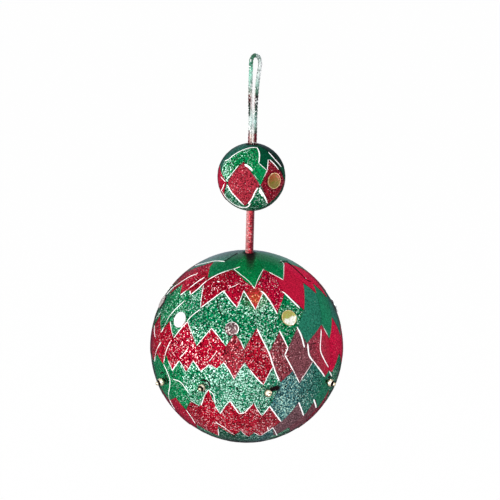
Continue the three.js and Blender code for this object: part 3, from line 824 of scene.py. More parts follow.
# Seams between the large ball's rows: (column, longitude, latitude) of each hand-cut corner on the
# front, and an even pitch behind
columnCount = 44
seams = {
    "capToRed": {
        "step": 3, "high": 66, "low": 52,
        "front": [
            (1, -66.2, 66.9), (4, -44.3, 53.7), (6, -21, 63.9), (9, 5.7, 50.1), (11, 20.9, 65.3),
            (13, 37.6, 54.7), (14, 51.5, 62.9), (14.5, 64.5, 66.8), (15, 75, 67.5),
        ],
    },
    "redToGreen": {
        "step": 1, "high": 47, "low": 36,
        "front": [
            (0, -69.7, 44.3), (1, -61.4, 38.1), (2, -54.9, 42.9), (3, -49.8, 40.1), (4, -44.3, 48),
            (5, -34.3, 33.5), (6, -21.2, 46.6), (7, -7.8, 36.4), (8, -3.4, 48), (9, 5.6, 35.4),
            (10, 12.7, 46.6), (11, 20.6, 32.5), (12, 31.6, 45), (13, 42.9, 33.2), (14, 59.9, 49.8),
            (15, 66.5, 40.6),
        ],
    },
    "greenToDiamonds": {
        "step": 1, "high": 23, "low": 12,
        "front": [
            (0, -64.2, 13.4), (1, -58.1, 21.3), (2, -49.5, 12.7), (3, -41.8, 24.3),
            (4, -30.9, 11.2), (5, -22.8, 22.9), (6, -12.4, 13.1), (7, -7.4, 21.1), (8, -1.4, 12.1),
            (9, 6, 24.4), (10, 13.4, 10.4), (11, 20.8, 22.7), (12, 25.2, 12.3), (13, 33.4, 23.6),
            (14, 38.6, 13.8), (15, 54.5, 22.3), (16, 59.4, 13), (17, 71, 24.2),
        ],
    },
    "diamondsToGreen": {
        "step": 1, "high": 1, "low": -7,
        "front": [
            (0, -65.7, -0.4), (1, -58.1, -4.5), (2, -54.7, 1.6), (2.5, -48.9, -6.8),
            (3, -42.5, 0.7), (3.5, -37.4, -4.9), (4, -32.3, 2.5), (4.5, -27, -3.2), (5, -22, 1.2),
            (5.5, -17.3, -0.3), (6, -13.4, 3.6), (7, -6.4, -5.7), (8, -1, 4.2), (9, 10.4, -9),
            (10, 15.4, 1.7), (11, 20.9, -7.5), (12, 28, -1.6), (13, 33.5, -9.4), (14, 42.4, 2),
            (15, 54.3, -9), (16, 58.1, -5.7), (17, 62.2, -7.7),
        ],
    },
    "greenToRed": {
        "step": 1, "high": -22, "low": -31,
        "front": [
            (0, -63.1, -29.8), (1, -51.3, -24.8), (2, -45.3, -32.5), (3, -37.3, -24.3),
            (4, -31, -26.8), (5, -22.6, -14.1), (6, -17, -30.3), (7, -9.2, -20.2), (8, -2, -29.2),
            (9, 5, -21.4), (10, 11.8, -30.7), (11, 15.8, -23.5), (12, 28, -37.4), (13, 36.1, -22.7),
            (14, 47.6, -35.2), (15, 51, -23), (16, 61.5, -32.5), (17, 65.5, -19.3),
        ],
    },
    "redToBase": {
        "step": 1, "high": -45, "low": -53,
        "front": [
            (2, -45, -45.5), (5, -28, -56), (6, -21.2, -42.4), (7, -9.6, -52), (8, -2.9, -45.4),
            (9, 3.8, -53.6), (10, 8.7, -47.5), (11, 16.2, -52.8), (12, 23.2, -42.6),
        ],
    },
}


# Behind, each corner strays a little from the even pitch, as hand-cut ones do
strayValues = {"degrees": 1.2, "rhythm": 7.3}


def allCorners(seam):
    front, step = seam["front"], seam["step"]
    firstColumn, firstLongitude, firstLatitude = front[0]
    lastColumn, lastLongitude, lastLatitude = front[-1]
    spans = (firstColumn + columnCount - lastColumn) // step
    pitch = (firstLongitude + 360 - lastLongitude) / spans
    middle = (seam["high"] + seam["low"]) / 2
    corners = list(front)
    for i in range(spans - 1):
        rises = (i % 2 == 0) == (lastLatitude < middle)
        stray = strayValues["degrees"] * math.sin(strayValues["rhythm"] * i + seam["high"])
        level = (seam["high"] if rises else seam["low"]) + stray
        longitude = lastLongitude + (i + 1) * pitch + stray
        corners.append((lastColumn + (i + 1) * step, longitude, level))
    corners.append((firstColumn + columnCount, firstLongitude + 360, firstLatitude))
    return corners


def mixPlace(a, b, share):
    return (a[0] + (b[0] - a[0]) * share, a[1] + (b[1] - a[1]) * share)


# The stretch of a seam from one column to another, with every corner between
def seamStretch(corners, start, end):
    first = corners[0][0]
    turn = 0
    while start < first:
        start, end, turn = start + columnCount, end + columnCount, turn - 360
    while start >= first + columnCount:
        start, end, turn = start - columnCount, end - columnCount, turn + 360
    again = [(column + columnCount, lon + 360, lat) for column, lon, lat in corners[1:]]
    line = corners + again
    places = []
    for (column, *here), (nextColumn, *there) in zip(line, line[1:]):
        for wanted in (start, end):
            if column < wanted < nextColumn:
                share = (wanted - column) / (nextColumn - column)
                places.append((wanted, *mixPlace(here, there, share)))
        if start <= column <= end:
            places.append((column, *here))
    places.sort()
    return [(lon + turn, lat) for _, lon, lat in places]


# Cut pieces of sheet
sheetValues = {
    "thickness": 0.5 * mm,
    "seam": 0.06 * mm,  # covered edges stop this far short of the seam
    "overlap": 0.04 * mm,  # open edges reach this far over it
    "boldEdge": 0.6 * mm,  # width of the bare white edge where it shows most
    "thinEdge": 0.34 * mm,
    "closeEdge": 0.05 * mm,
    "lift": 0.2 * mm,  # how far the open side of a piece stands up
    "frontReach": -0.35,  # pieces that face further forward than this count as the front
    # Edges at the back, by how far they face up or down and away from the middle: covered above the
    # first, bold past the second, and thin below the third
    "covered": 0.4,
    "bold": -0.25,
    "thin": -0.2,
    "straight": 0.12,  # corners that bend less than this are passed in a straight line
    "inset": 0.02 * mm,  # starts the band along an edge, whose corners then move
    "sameSpot": 1e-7,  # metres within which two corners are one
    "rounding": (0.05 * mm, 1, 50),  # width, segments, and degrees at which an edge is rounded
    "smooth": 35,
}


# How much white edge a piece shows on the ball's back, where pieces are laid like shingles: an edge
# that faces down and away from the middle of its half is open, and the opposite one is covered. The
# open edges in front are placed one by one, further on.
def edgeWidth(facing, side, inFront, meets):
    if inFront or facing.y > sheetValues["covered"]:
        return 0.0
    if facing.x * side < sheetValues["bold"]:
        return sheetValues["boldEdge"] * meets
    if side < 0 and facing.y < sheetValues["thin"]:
        return sheetValues["thinEdge"] * meets
    return 0.0


# The outline with each edge moved inwards by its own distance
def offsetOutline(corners, distances):
    moved = []
    for i, here in enumerate(corners):
        before, after = corners[i - 1], corners[(i + 1) % len(corners)]
        lines = []
        for a, b, distance in ((before, here, distances[i - 1]), (here, after, distances[i])):
            along = (b - a).normalized()
            inward = Vector((-along.y, along.x))
            lines.append((a + inward * distance, along))
        (p, r), (q, s) = lines
        cross = r.x * s.y - r.y * s.x
        if abs(cross) < sheetValues["straight"]:
            moved.append((p + r * (here - p).dot(r) + q + s * (here - q).dot(s)) / 2)
            continue
        share = ((q - p).x * s.y - (q - p).y * s.x) / cross
        moved.append(p + r * share)
    return moved


# A flat panel with a band along its edge, in paper where the edge is bare
def addPanel(outline, inner, whites, cuts, materials):
    bpy.ops.mesh.primitive_circle_add(vertices=len(outline), radius=5 * mm, fill_type="NGON")
    obj = bpy.context.view_layer.objects.active
    mesh = obj.data
    for vertex, place in zip(mesh.vertices, outline):
        vertex.co = (place.x, place.y, 0)
    bpy.ops.object.mode_set(mode="EDIT")
    bpy.ops.mesh.select_mode(type="FACE")
    bpy.ops.mesh.select_all(action="SELECT")
    bpy.ops.mesh.inset(thickness=sheetValues["inset"])
    editOff()
    outerCorner = {}
    for vertex in mesh.vertices:
        place = Vector(vertex.co[:2])
        gapTo = [(place - corner).length for corner in outline]
        nearest = min(range(len(outline)), key=gapTo.__getitem__)
        if gapTo[nearest] > sheetValues["sameSpot"]:  # a vertex that the inset made
            vertex.co = (inner[nearest].x, inner[nearest].y, 0)
        else:
            outerCorner[vertex.index] = nearest
    for material in materials:
        mesh.materials.append(material)
    for polygon in mesh.polygons:
        touching = sorted(outerCorner[i] for i in polygon.vertices if i in outerCorner)
        if polygon.select or len(touching) != 2:
            continue
        a, b = touching
        polygon.material_index = 1 if whites[a if b == a + 1 else b] else 0
    bpy.ops.object.mode_set(mode="EDIT")
    bpy.ops.mesh.quads_convert_to_tris(quad_method="BEAUTY", ngon_method="BEAUTY")
    bpy.ops.mesh.select_all(action="SELECT")
    bpy.ops.mesh.subdivide(number_cuts=cuts)
    editOff()
    return obj


# Gives each face of a piece its finish: how muted, sparkling, lively and dim it is. The fifth
# number makes the first two grow to the left.
def setFinish(mesh, finish, leftward):
    *levels, slope = (*finish, 0.0, 0.0)[:5]
    for label, value in zip(("tone", "sparkle", "lively", "dim"), levels):
        attribute = mesh.attributes.new(label, "FLOAT", "FACE")
        for polygon, item in zip(mesh.polygons, attribute.data):
            varies = label in ("tone", "sparkle")
            share = max(0.0, 1 + slope * leftward(polygon.center)) if varies else 1.0
            item.value = value * share


# Cuts a piece flat, on the plane that touches the ball at its middle, and drapes it over the ball
def addCutPiece(places, ball, cuts, finish, materials, meets=None):
    directions = [onBall(lon, lat) for lon, lat in places]
    outward = sum(directions, Vector()).normalized()
    east = Vector((-outward.y, outward.x, 0)).normalized()
    north = outward.cross(east)
    radius = ball["radius"]
    flat = []
    for direction in directions:
        depth = direction.dot(outward)
        flat.append(Vector((direction.dot(east), direction.dot(north))) * (radius / depth))
    side = 1.0 if outward.x * -outward.y > 0 else -1.0
    inFront = -outward.y > sheetValues["frontReach"]
    gaps, bands, whites = [], [], []
    for a, b, share in zip(flat, flat[1:] + flat[:1], meets or [1.0] * len(flat)):
        along = (b - a).normalized()
        width = edgeWidth(Vector((along.y, -along.x)), side, inFront, share)
        whites.append(width > 0)
        gaps.append(-sheetValues["overlap"] if width > 0 else sheetValues["seam"])
        bands.append(max(width, sheetValues["closeEdge"]))
    outline = offsetOutline(flat, gaps)
    obj = addPanel(outline, offsetOutline(outline, bands), whites, cuts, materials)
    reach = max(corner.length for corner in outline)
    openWay = Vector((-side, -1.0)).normalized()
    middle = Vector((0, 0, ball["centre"]))
    for vertex in obj.data.vertices:
        spot = Vector(vertex.co[:2])
        lean = max(-1.0, min(1.0, spot.dot(openWay) / reach))
        direction = (outward + east * (spot.x / radius) + north * (spot.y / radius)).normalized()
        vertex.co = middle + direction * (radius + sheetValues["lift"] * lean)
    setFinish(obj.data, finish, lambda place: -(place - middle).dot(east) / reach)
    return obj


def joinPieces(pieces, name):
    choose(*pieces)
    bpy.ops.object.join()
    obj = named(name)
    sheet = obj.modifiers.new("sheetThickness", "SOLIDIFY")
    sheet.thickness = sheetValues["thickness"]
    sheet.offset = -1.0
    sheet.use_even_offset = False
    applyModifiers(obj)
    roundEdges(obj, *sheetValues["rounding"])
    smooth(obj, sheetValues["smooth"])
    return obj


# A smooth line through points, by centripetal spline, at even steps, and its length
def smoothLine(points, step):
    fineSteps = 12  # between two points, before the steps are made even
    ends = [points[0] * 2 - points[1]] + points + [points[-1] * 2 - points[-2]]
    fine = []
    for a, b, c, d in zip(ends, ends[1:], ends[2:], ends[3:]):
        knots = [0.0]
        for p, q in ((a, b), (b, c), (c, d)):
            knots.append(knots[-1] + max((q - p).length, 1e-6) ** 0.5)
        for k in range(fineSteps):
            t = knots[1] + (knots[2] - knots[1]) * k / fineSteps
            ab = a.lerp(b, (t - knots[0]) / (knots[1] - knots[0]))
            bc = b.lerp(c, (t - knots[1]) / (knots[2] - knots[1]))
            cd = c.lerp(d, (t - knots[2]) / (knots[3] - knots[2]))
            abc = ab.lerp(bc, (t - knots[0]) / (knots[2] - knots[0]))
            bcd = bc.lerp(cd, (t - knots[1]) / (knots[3] - knots[1]))
            fine.append(abc.lerp(bcd, (t - knots[1]) / (knots[2] - knots[1])))
    fine.append(points[-1])
    total = sum((q - p).length for p, q in zip(fine, fine[1:]))
    count = max(2, round(total / step))
    line, walked, index = [fine[0]], 0.0, 0
    for i in range(1, count):
        wanted = total * i / count
        while walked + (fine[index + 1] - fine[index]).length < wanted:
            walked += (fine[index + 1] - fine[index]).length
            index += 1
        gap = (fine[index + 1] - fine[index]).length
        line.append(fine[index].lerp(fine[index + 1], (wanted - walked) / gap))
    line.append(fine[-1])
    return line, total


# Open edges: bare white paper along the front seams, as (width in mm, places along it)
openEdges = {
    "large_row_1_green_cap": [
        (0.74, [(-46.9, 70.1), (-67.7, 67.4), (-77.2, 63), (-91.7, 56.4)]),
        (0.52, [(-13.4, 67.1), (-21, 64.4), (-25.8, 63), (-35.5, 58.4), (-42.2, 52.6)]),
        (0.59, [(-21, 64.4), (-9.2, 59.9), (-0.7, 55.5), (5.6, 49.7)]),
        (0.67, [(26.3, 62), (37.5, 54.8)]),
        (0.3, [(5.6, 49.7), (10.7, 57.3), (20.9, 65.3)]),
        (0.3, [(37.5, 54.8), (51.5, 62.9), (65.9, 67.3), (71.8, 70.1)]),
    ],
    "large_row_2_red": [
        (0.52, [(-34.8, 33.4), (-27.9, 40.3), (-21.2, 46.6)]),
        (0.52, [(-21.2, 46.6), (-14.5, 41.6), (-7.6, 36.3)]),
        (0.3, [(-7.6, 36.3), (-5.6, 42.1), (-4, 47.7)]),
        (0.52, [(-4, 47.7), (1, 41.8), (5.6, 35.5)]),
        (0.3, [(5.6, 35.5), (8.6, 40.5), (12.7, 46.6)]),
        (0.74, [(10.7, 47.7), (12.7, 46.6), (17, 40.8), (20.8, 32.5)]),
        (0.74, [(29.8, 46.6), (31.7, 45.2), (35.1, 40.6), (39.7, 34.5)]),
        (0.37, [(-42.6, 48), (-37.5, 39.1), (-35, 33.8)]),
        (0.3, [(-17.8, 48.7), (-12.3, 50.9), (-8.8, 53)]),
        (0.9, [(-31.2, 52.6), (-28.6, 52.4)]),
        (0.6, [(70.5, 52), (69, 50.8)]),
        (0.59, [
            (-64.9, 54.8), (-64.4, 53.6), (-69.5, 50.9), (-73.8, 46.3), (-78.1, 41.9),
            (-82.6, 38.1), (-85.2, 32.7),
        ]),
        (0.67, [(-49, 53.5), (-53, 48.7), (-55.9, 43.7), (-60.7, 37.6)]),
        (0.59, [(-42.8, 52), (-44.7, 48.3), (-46, 44.9), (-49.4, 40.2), (-53.1, 42.1)]),
    ],
    "large_row_3_green": [
        (0.3, [(-91.2, 38.4), (-96.6, 32.1), (-95.4, 28.4), (-94.6, 25.8)]),
        (0.52, [
            (-51.9, 35.6), (-55.2, 31.4), (-57.9, 27.7), (-60.4, 23.1), (-61.6, 18.4),
            (-63.8, 13.1),
        ]),
        (0.44, [(-74.7, 23.1), (-80.4, 17.6)]),
        (0.44, [(-34.7, 32.6), (-37.6, 29.9), (-40, 27.3), (-41.7, 24.4)]),
        (0.37, [(-41.7, 24.4), (-36.9, 19.3), (-33.7, 15.6), (-31, 11.8)]),
        (0.44, [(-41.6, 24), (-45.5, 18.6), (-49.4, 12.8)]),
        (0.44, [(-57.1, 21.1), (-52.8, 16.4), (-49.4, 12.8)]),
        (0.44, [(-22.8, 22.8), (-26.6, 17.4), (-30.9, 11.4)]),
        (0.52, [(-22.8, 22.8), (-17.9, 18.8), (-12.4, 13.5)]),
        (0.52, [(-78.3, 13.7), (-75.9, 10.8), (-71.4, 8.3)]),
        (0.52, [(-4, 17.3), (-1.3, 12)]),
    ],
    "large_row_4_red": [
        (0.67, [(6.3, 24.1), (9.6, 17.5), (13.4, 9.6), (15.9, 2.1), (19.8, -6.9)]),
        (0.74, [(20.6, 22.5), (22.7, 18.2), (25.2, 12.5)]),
        (0.81, [(33.4, 23.8), (35.2, 18.4), (36.4, 11.4)]),
        (0.81, [(39.1, 13.3), (39.7, 6.2), (43.3, 1.9), (54.3, -8.9)]),
        (0.59, [(52.8, 19.7), (49.1, 8.1), (52.1, 2.1), (56.9, -3.5)]),
        (0.59, [(25.2, 12.5), (22.9, 8.3), (26.1, 2.7), (29, -2.2), (33.4, -9.3)]),
        (0.3, [(54.9, 22.4), (56.8, 18.2), (59.5, 13.4)]),
        (0.59, [(58.7, -6.5), (63.4, -10.6)]),
        (0.52, [(2.3, 0.2), (6.1, -4.5), (10.5, -8.9)]),
        (0.3, [(10.5, -8.9), (13.1, -2.9), (15.5, 1.7)]),
        (0.26, [(33.5, -8.8), (36.1, -5.2), (42.1, 2.1)]),
        (0.52, [(34.5, -6.8), (35.6, -5.1)]),
        (0.52, [(-61.7, 7.6), (-65.6, 3.3), (-69.4, -3.2), (-70.7, -6.1)]),
        (0.52, [(-51.9, 10.2), (-54.4, 5), (-57.3, -3.4)]),
        (0.37, [(-36.6, 9.3), (-39.3, 5.5), (-42.4, 2.4)]),
        (0.3, [(-17.7, 9.7), (-20, 6.2), (-22.1, 3.4)]),
        (0.52, [(-42.6, 0.6), (-45.2, -2.4), (-48.9, -6.7)]),
        (0.37, [(-48.9, -6.7), (-50.4, -3.9), (-52.7, -1.5)]),
        (0.44, [(-42.3, 0.3), (-40, -1.9), (-37.4, -5.2)]),
        (0.44, [(-32.3, 2.4), (-29.8, -0.1), (-27.2, -3.1)]),
        (0.3, [(-36.6, -4.7), (-34.2, -0.8), (-32.3, 2.4)]),
        (0.37, [(-27.2, -3.1), (-24.2, -0.6), (-22, 1.4)]),
        (0.3, [(-22, 1.4), (-19.8, 1), (-17.1, -0.2)]),
        (0.52, [(-13.4, 3.9), (-9.9, -0.4), (-6.5, -6)]),
        (0.37, [(-6.5, -5.3), (-4.2, -0.9), (-1, 3.8)]),
    ],
    "large_row_5_green": [
        (0.52, [
            (-57.5, -4.7), (-54.4, -8.3), (-52.5, -12.8), (-54.3, -17.9), (-60.7, -25.8),
            (-62.7, -29.4), (-65.2, -37.3),
        ]),
        (0.44, [(-48.8, -12), (-42.6, -12.5), (-37.5, -18)]),
        (0.44, [(-22.8, -14.1), (-25, -17.2), (-29.7, -26.1)]),
        (0.37, [(-22.8, -14.1), (-19.8, -16.5), (-19.1, -23.4)]),
        (0.52, [(-19.4, -25), (-16.7, -30.2), (-11.6, -22.5), (-9.2, -20.3)]),
        (0.59, [(-9.2, -20.3), (-7.1, -23.7), (-4, -29)]),
        (0.37, [(-4, -29.3), (-0.7, -28.9)]),
        (0.44, [(-3.2, -28.7), (0.1, -28.3), (2.7, -24.4), (4.8, -21.7)]),
    ],
    "large_row_6_red": [
        (0.44, [(-45.4, -32.7), (-44.4, -38.5), (-45.3, -44.9)]),
        (0.3, [(-36.8, -23.8), (-33.9, -25.2), (-30.9, -26.5)]),
        (0.37, [(-22.4, -38.5), (-16.2, -43.4), (-12.4, -47.9), (-9.2, -51.4)]),
        (0.37, [(-22.7, -46), (-27.5, -55.8)]),
        (0.52, [(5.7, -21.2), (8.3, -26), (11.7, -30.6)]),
        (0.52, [(11.7, -30.6), (14, -26.7), (15.7, -23.5)]),
        (0.74, [(15.9, -23.5), (21.1, -30), (27.9, -37.2)]),
        (0.81, [(36.1, -22.7), (40.3, -27.9), (47.4, -35.1)]),
        (0.81, [(49.2, -23), (53.1, -26.7), (58.5, -31.2)]),
        (0.44, [(23.1, -42.7), (21, -46.6), (18.2, -41.5)]),
        (0.52, [(23.1, -42.7), (27.5, -47.4), (36, -55)]),
        (0.37, [(-2.4, -46.1), (0.1, -49.7), (4.3, -53.3)]),
        (0.37, [(8.7, -47.7), (11.8, -50.2), (16.1, -52.6)]),
        (0.3, [(16.1, -52.6), (18.1, -49.1), (20.4, -46.6)]),
    ],
}


# Painted shade and shadow, in the same form: dark strips in the cracks between sheets, and dabs
# behind the beads where their shadows fall
paintedShadowLines = {
    "large_row_1_green_cap": [
        (0.3, [(-46.9, 70.1), (-50, 75), (-62, 82)]),
        (0.5, [(60, 68.8), (75, 68.5), (86, 66.5)]),
    ],
    "large_row_2_red": [
        (0.62, [(79.6, 67), (75, 62.5), (71.5, 58.6), (69.3, 54.3), (68.5, 50.3), (72.8, 48)]),
        (0.3, [(-47.5, 50.5), (-49.5, 47.5), (-52, 44)]),
    ],
    "large_row_3_green": [
        (0.44, [(-24.4, 40.7), (-20.8, 34.6), (-17.6, 30.5)]),
        (0.35, [(46, 12.5), (42, 13), (40.8, 9)]),
    ],
    "large_row_5_green": [
        (2.5, [(14.5, -12.3), (17, -11.6), (20.4, -11.2)]),
        (0.95, [(-27, -8.6), (-24.4, -8.2), (-22, -9.4), (-21.2, -12.6)]),
        (0.7, [(-28.6, -13.6), (-27, -15.2), (-25, -15.3)]),
        (0.9, [(-57.4, -11.4), (-55.5, -13.8), (-55.9, -16.6)]),
        (0.5, [(-63.5, -12.2), (-60.5, -10.4), (-57.8, -10.4)]),
        (1.2, [(58.4, -10.2), (62, -10.5)]),
        (2.0, [(120, -12), (123, -11.2)]),
        (0.8, [(156.5, -9.6), (160, -9.2), (162.4, -11)]),
        (1.8, [(203.5, -12.6), (206.8, -11.8)]),
        (1.1, [(247.5, -10.6), (250, -12)]),
    ],
}


ribbonValues = {
    "step": 0.9 * mm,  # length of a ribbon's segments
    "height": 0.16 * mm,  # of its middle above the sheet
    "side": 0.04 * mm,  # and of its sides
    "shadowStripHeight": 0.14 * mm,  # how much higher the painted shadow strips stand
    "sharp": 50.0,  # degrees at which a line is a corner, not a curve
    "taper": 0.6 * mm,  # length over which an end narrows
    "endShare": 0.4,  # of its width, at an end
    "uneven": 0.18,
}


# Splits a line at its sharp corners
def smoothRuns(points):
    runs, run = [], [points[0]]
    for before, here, after in zip(points, points[1:], points[2:]):
        run.append(here)
        if math.degrees((here - before).angle(after - here)) > ribbonValues["sharp"]:
            runs.append(run)
            run = [here]
    run.append(points[-1])
    runs.append(run)
    return runs


def addRibbon(points, width, ball, material, dice, lift):
    values = ribbonValues
    line, total = smoothLine(points, values["step"])
    last = len(line) - 1
    deselectAll()
    bpy.ops.mesh.primitive_grid_add(x_subdivisions=last, y_subdivisions=2, size=2)
    obj = bpy.context.view_layer.objects.active
    middle = Vector((0, 0, ball["centre"]))
    widths = [width * (1 + values["uneven"] * (2 * dice.random() - 1)) for _ in line]
    for vertex in obj.data.vertices:
        index = round((vertex.co.x + 1) / 2 * last)
        across = round(vertex.co.y)
        along = line[min(index + 1, last)] - line[max(index - 1, 0)]
        outward = line[index].normalized()
        sideways = outward.cross(along).normalized()
        toEnd = min(index, last - index) * total / last
        endShare = values["endShare"]
        narrowed = endShare + (1 - endShare) * min(1.0, toEnd / values["taper"])
        rise = lift + (values["height"] if across == 0 else values["side"])
        reach = outward * ball["radius"] + sideways * (across * widths[index] * narrowed / 2)
        vertex.co = middle + reach.normalized() * (ball["radius"] + rise)
    obj.data.materials.append(material)
    editOn(obj)
    faceOutwards()
    editOff()
    face = obj.data.polygons[0]
    if face.normal.dot(face.center - middle) < 0:
        editOn(obj)
        bpy.ops.mesh.select_all(action="SELECT")
        bpy.ops.mesh.flip_normals()
        editOff()
    return obj


def addRibbons(lines, ball, material, seed):
    dice = random.Random(seed)
    lift = ribbonValues["shadowStripHeight"] if material == paintedShadowStrip else 0.0
    ribbons = []
    for width, places in lines:
        points = [onBall(lon, lat) * ball["radius"] for lon, lat in places]
        for run in smoothRuns(points):
            ribbons.append(addRibbon(run, width * mm, ball, material, dice, lift))
    return ribbons


# Joins cut pieces with the white edges and the painted shadow strips that show on them, and puts
# them on their ball
def layPieces(pieces, ball, node, edges, shadowLines):
    pieces += addRibbons(edges.get(node, []), ball, paperEdge, node)
    pieces += addRibbons(shadowLines.get(node, []), ball, paintedShadowStrip, node)
    joined = joinPieces(pieces, node.replace(*ball["rename"]))
    joinFrame(joined, ball["body"], node)


# How open a row's meeting line is, at a column
def openOnBothSides(column):
    return 1.0 if column % columnCount in (0, 1, 2, 3, 14, 15, 16, 17, 24, 25, 34, 35) else 0.0


def openOnRight(column):
    return 1.0 if 9 <= column % columnCount <= 17 or 28 <= column % columnCount <= 34 else 0.4


# The rows, top to bottom. Their front pieces have finishes of their own, by column: how muted,
# sparkling, lively and dim each one looks, and how much its left end has more of the first two.
# The sparkle is highest where the highlight falls, a painted highlight, and dim is painted shade on
# the pieces where shade falls.
rowValues = {
    "large_row_2_red": {
        "upper": "capToRed", "lower": "redToGreen", "first": 0, "colour": "red",
        "meets": openOnBothSides,
        "own": {
            0: (0.0, 0.6, 0.3, 0.1), 2: (0.05, 0.5, 0.1, 0.12), 4: (0.0, 0.65, 0.0, 0.14),
            6: (0.0, 0.8, 0.3), 8: (0.0, 0.9, 0.6), 10: (0.0, 0.8, 0.6), 12: (0.1, 0.03, 0.5),
            14: (0.05, 0.06, 0.75), 16: (0.0, 0.2, 0.9), 18: (0.0, 0.2, 0.9),
        },
    },
    "large_row_3_green": {
        "upper": "redToGreen", "lower": "greenToDiamonds", "first": 1, "colour": "green",
        "meets": openOnBothSides,
        "own": {
            43: (0.0, 0.5, 0.2), 1: (0.0, 0.65, 0.2), 3: (0.05, 0.7, 0.0), 5: (0.0, 0.8, 0.0),
            7: (0.0, 0.8, 0.0), 9: (0.0, 0.95, 0.0), 11: (0.0, 0.5, 0.3), 13: (0.3, 0.1, 0.0),
            15: (0.2, 0.05, 0.15), 17: (0.4, 0.05, 0.0),
        },
    },
    "large_row_4_red": {
        "upper": "greenToDiamonds", "lower": "diamondsToGreen", "first": 0, "colour": "red",
        "meets": openOnRight,
        "own": {
            42: (0.0, 0.6, 0.0), 0: (0.0, 0.7, 0.1), 2: (0.0, 0.9, 0.2), 4: (0.0, 1.0, 0.1),
            6: (0.25, 0.9, 0.0), 8: (0.05, 1.0, 0.0), 10: (0.55, 0.9, 0.0), 12: (0.8, 0.35, 0.0),
            14: (0.5, 0.2, 0.35, 0.0, 1.6), 16: (0.0, 0.2, 0.9), 18: (0.0, 0.15, 0.9),
        },
    },
    "large_row_5_green": {
        "upper": "diamondsToGreen", "lower": "greenToRed", "first": 1, "colour": "green",
        "meets": openOnBothSides,
        "own": {
            43: (0.0, 0.35, 0.2), 1: (0.0, 0.45, 0.3), 3: (0.05, 0.9, 0.0), 5: (0.15, 1.1, 0.0),
            7: (0.15, 1.15, 0.0), 9: (0.2, 0.9, 0.0), 11: (0.8, 0.8, 0.0),
            13: (0.6, 0.45, 0.1, 0.0, 0.7), 15: (0.35, 0.2, 0.2),
        },
    },
    "large_row_6_red": {
        "upper": "greenToRed", "lower": "redToBase", "first": 0, "colour": "red",
        "meets": openOnBothSides,
        "own": {
            0: (0.05, 0.4, 0.3, 0.15), 2: (0.1, 0.8, 0.0, 0.2), 4: (0.0, 0.9, 0.0),
            6: (0.05, 1.0, 0.0), 8: (0.1, 1.0, 0.0), 10: (0.25, 1.0, 0.0), 12: (1.0, 0.35, 0.0),
            14: (0.85, 0.35, 0.0),
        },
    },
}
# Pieces without a finish of their own are muted this much at most, and sparkle between two shares
backFinish = {"muted": 0.15, "sparkle": (0.4, 0.8)}
poleFinish = {"muted": 0.1, "moreSparkle": 0.3}
cutCounts = {"row": 3, "pole": 4, "small": 5}  # cuts of a piece's mesh, so that it follows its ball
sheets = {"green": (greenSheet, paperEdge), "red": (redSheet, paperEdge)}
corners = {name: allCorners(seam) for name, seam in seams.items()}


def pieceFinish(dice, own, column):
    if column in own:
        return own[column]
    least, most = backFinish["sparkle"]
    return (backFinish["muted"] * dice.random(), least + (most - least) * dice.random(), 0.0)


def makeRow(name, values):
    dice = random.Random(name)
    pieces = []
    for column in range(values["first"], columnCount + values["first"], 2):
        lower = seamStretch(corners[values["lower"]], column, column + 2)
        upper = seamStretch(corners[values["upper"]], column, column + 2)
        finish = pieceFinish(dice, values["own"], column)
        outline = lower + upper[::-1]
        meets = [1.0] * len(outline)
        meets[len(lower) - 1] = values["meets"](column + 2)
        meets[-1] = values["meets"](column)
        sheet = sheets[values["colour"]]
        pieces.append(addCutPiece(outline, largeBall, cutCounts["row"], finish, sheet, meets))
    layPieces(pieces, largeBall, name, openEdges, paintedShadowLines)


for rowName, values in rowValues.items():
    makeRow(rowName, values)
print("rows made")


# The cap and the base: pieces run from a seam's inner corners to the hole at the pole
poleValues = {
    "large_row_1_green_cap": {
        "seam": "capToRed", "hole": 86.2, "sign": 1, "sparkle": 0.03,
        "sides": {1: [(-46.9, 70.1)]},
        # painted highlight and shade: the middle front piece is lively where the cap's highlight
        # falls, and the dim pieces are darkened where shade falls
        "own": {
            0: (0.05, 0.1, 0.2, 0.25), 1: (0.0, 0.15, 0.85), 2: (0.0, 0.1, 0.4),
            3: (0.3, 0.02, 0.3), 4: (0.7, 0.1, 0.0, 0.1), 5: (0.6, 0.2, 0.0, 0.1),
            6: (0.4, 0.3, 0.0), 7: (0.3, 0.3, 0.0), 8: (0.4, 0.3, 0.0), 9: (0.7, 0.2, 0.0, 0.1),
            10: (0.9, 0.1, 0.0, 0.2), 11: (0.9, 0.02, 0.0, 0.2),
        },
    },
    "large_row_7_green_base": {
        "seam": "redToBase", "hole": -84.6, "sign": -1, "sparkle": 0.9, "sides": {},
        # painted shade: the base's front pieces are dimmed, each by its own amount
        "own": {
            0: (0.1, 0.6, 0.0, 0.7), 1: (0.3, 0.6, 0.0, 0.6), 2: (0.5, 0.6, 0.0, 0.4),
            3: (0.8, 0.5, 0.0, 0.2),
        },
    },
}


# Where a seam is at a column, with its longitude counted on from the first turn
def seamPlace(line, column):
    turns = (column - line[0][0]) // columnCount
    column -= turns * columnCount
    for (start, *here), (end, *there) in zip(line, line[1:]):
        if start <= column <= end:
            lon, lat = mixPlace(here, there, (column - start) / (end - start))
            return (lon + 360 * turns, lat)


